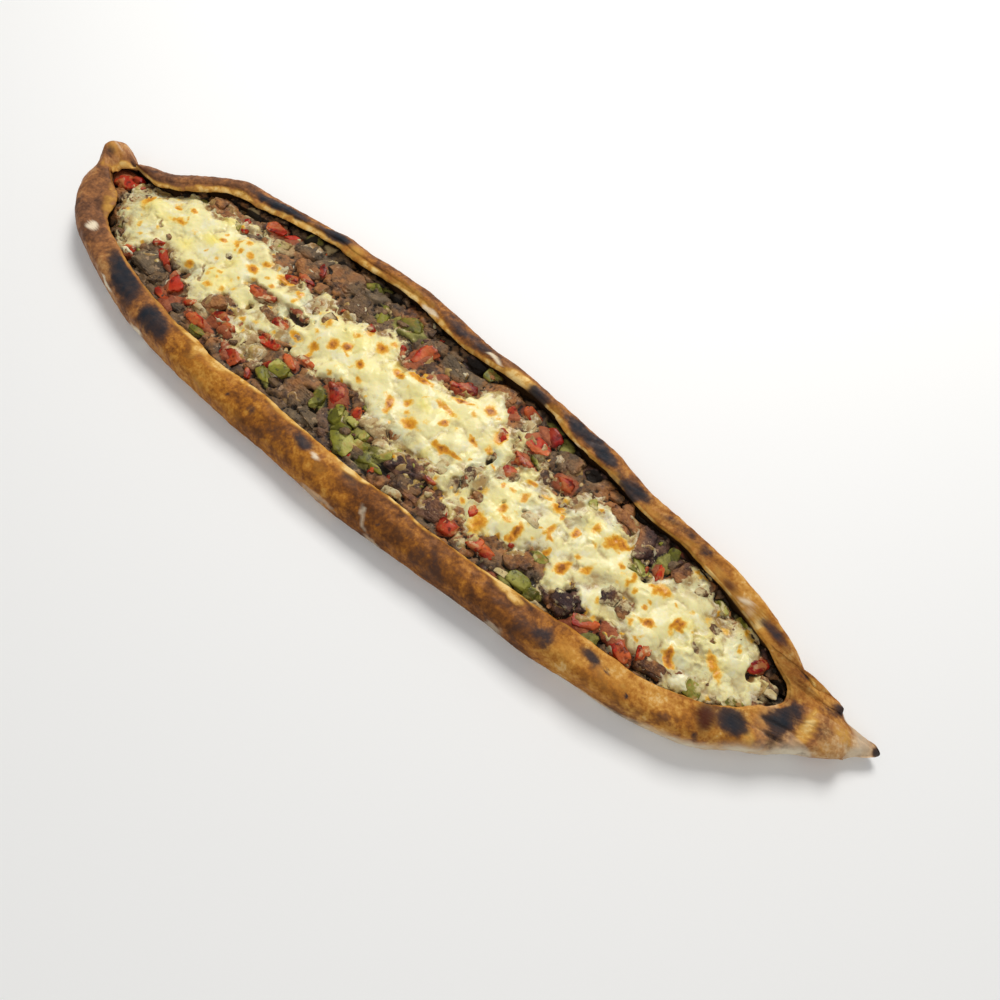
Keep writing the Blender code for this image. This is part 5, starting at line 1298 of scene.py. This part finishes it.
heap_finish = Finish("packed_filling", **wet)
ramp, fleck = meat_colour(heap_finish, heap_finish.number("tone"), 5 * MM)
mottle = heap_finish.noise(3.5 * MM, 4, 0.65)
for key, dark, light in (("tomato", ink(124, 54, 30), ink(178, 98, 56)), ("pepper", ink(98, 94, 34), ink(158, 152, 72)),
                         ("pale", ink(160, 124, 78), ink(206, 182, 130))):
    ramp = heap_finish.mix(heap_finish.math("MULTIPLY", heap_finish.number(key), 0.92), ramp,
                           heap_finish.ramp(mottle, (0.36, dark), (0.64, light)))
ramp = filmed(heap_finish, ramp)
# painted shade: the bed darkened in its creases, its pits and under the far lip
ramp = heap_finish.mix(heap_finish.remap(heap_finish.number("crease"), 0.12, 0.95, 0.0, 0.95), ramp, ink(34, 25, 16))
heap_finish.set(Base_Color=ramp, Roughness=heap_finish.remap(fleck, 0.3, 0.7, 0.36, 0.62),
                Normal=heap_finish.bump(heap_finish.noise(1.9 * MM, 5, 0.7), 1.1 * MM, 0.9))
bed.data.materials.append(heap_finish.material)
print("filling finishes:", sorted(finishes))

# %% [markdown]
# ## The cheese's finish
# Where it is thick the cheese is a warm cream with buttery patches. Where it is thin it turns grey and shows what
# lies under it. Its proud lumps browned into orange-brown blisters with a darker middle. A little light passes
# through, so the shader scatters light below the surface.

# %% Cheese material
melt = Finish("melted_cheese", Specular_IOR_Level=0.34, Subsurface_Weight=0.25, Subsurface_Scale=0.0025)
melt.shader.inputs["Subsurface Radius"].default_value = (1.0, 0.75, 0.4)
broad, patch, fleck = melt.noise(13 * MM, 4, 0.6), melt.noise(4.5 * MM, 4, 0.6), melt.noise(1.3 * MM, 4, 0.65)
depth = melt.math("ADD", melt.number("thick"), melt.remap(fleck, 0.35, 0.65, -0.14, 0.14))
depth = melt.math("ADD", depth, melt.remap(patch, 0.35, 0.65, -0.45, 0.45))
depth = melt.math("ADD", depth, melt.remap(melt.number("relief"), -0.6, 0.2, -0.6, 0.2))
colour = melt.ramp(melt.remap(depth, -0.2, 2.4), (0.0, ink(158, 122, 74)), (0.12, ink(184, 156, 104)),
                   (0.26, ink(206, 190, 138)), (0.44, ink(223, 209, 152)), (0.66, ink(232, 219, 156)), (1.0, ink(239, 229, 170)))
yolk = melt.math("ADD", melt.number("butter"), melt.remap(broad, 0.42, 0.66, -0.1, 0.25))
colour = melt.mix(melt.math("MULTIPLY", yolk, 0.72, clamp=True), colour, ink(245, 227, 112))
milk = melt.noise(6 * MM, 5, 0.65, distortion=0.4)
colour = melt.mix(melt.remap(milk, 0.5, 0.64, 0.0, 0.55), colour, ink(240, 236, 208))
see_through = melt.math("MULTIPLY", melt.remap(melt.number("veil"), 0.05, 0.7), melt.remap(milk, 0.52, 0.4, 0.0, 0.75))
colour = melt.mix(see_through, colour, ink(178, 146, 92))
chalk = melt.math("MULTIPLY", melt.remap(melt.number("veil"), 0.1, 0.9, 0.0, 0.6), melt.remap(patch, 0.35, 0.62))
colour = melt.mix(chalk, colour, ink(190, 194, 160))
toasted = melt.math("ADD", melt.math("MULTIPLY", melt.number("blister"), 0.88), melt.remap(fleck, 0.35, 0.65, -0.1, 0.1))
toasted = melt.math("ADD", toasted, melt.remap(patch, 0.35, 0.65, -0.16, 0.16))
spot = melt.ramp(toasted, (0.1, ink(248, 220, 112)), (0.4, ink(238, 188, 62)), (0.68, ink(220, 152, 36)),
                 (0.88, ink(196, 122, 26)), (1.0, ink(152, 90, 22)))
colour = melt.mix(melt.remap(toasted, 0.1, 0.6), colour, spot)
melt.set(Base_Color=colour, Roughness=melt.remap(patch, 0.3, 0.7, 0.28, 0.5),
         Normal=melt.bump(melt.math("ADD", melt.math("MULTIPLY", fleck, 0.5), patch), 0.6 * MM, 0.4))
for piece in cheese_pieces:
    piece.data.materials.append(melt.material)

# %% [markdown]
# ## Table, light and camera
# The loaf lies on a plain pale table under soft light from above, with a larger, weaker light from the camera's
# side, so the rim casts only a soft shadow. The camera looks down over the near side.

# %% Stage
mesh = bpy.data.meshes.new("table")
mesh.from_pydata([(-3, -3, 0), (3, -3, 0), (3, 3, 0), (-3, 3, 0)], [], [(0, 1, 2, 3)])
table = bpy.data.objects.new("table", mesh)
bpy.context.scene.collection.objects.link(table)
table.location.z = -0.0002
plain = Finish("plain_table", Base_Color=(0.93, 0.93, 0.92, 1), Roughness=0.7)
mesh.materials.append(plain.material)


def soft_light(name, place, target, size, watts, colour=(1, 1, 1)):
    """A square light of the given size in metres that faces the target."""
    light = bpy.data.lights.new(name, "AREA")
    light.shape, light.size, light.energy, light.color = "SQUARE", size, watts, colour
    lamp = bpy.data.objects.new(name, light)
    lamp.location = place
    lamp.rotation_euler = (Vector(target) - Vector(place)).to_track_quat("-Z", "Y").to_euler()
    bpy.context.scene.collection.objects.link(lamp)
    return lamp


soft_light("key", (-0.3, 0.85, 1.0), (0, 0, 0), 0.5, 14, (1, 0.985, 0.96))
soft_light("fill", (0.5, -0.7, 1.0), (0, 0, 0), 1.0, 2.5)
world = bpy.data.worlds.new("studio")
world.use_nodes = True
world.node_tree.nodes["Background"].inputs["Color"].default_value = (1, 1, 1, 1)
world.node_tree.nodes["Background"].inputs["Strength"].default_value = 0.36
bpy.context.scene.world = world
bpy.context.scene.view_settings.view_transform = "Standard"

camera_data = bpy.data.cameras.new("camera")
camera_data.lens, camera_data.sensor_width = 24.5, 36
camera_data.clip_start = 0.01
camera = bpy.data.objects.new("camera", camera_data)
right, up, back = (0.75727, 0.65050, 0.05828), (-0.61008, 0.67271, 0.41865), (0.23312, -0.35259, 0.90628)
camera.matrix_world = Matrix.Translation((0.1502, -0.1331, 0.3323)) @ Matrix((right, up, back)).transposed().to_4x4()
bpy.context.scene.collection.objects.link(camera)
bpy.context.scene.camera = camera
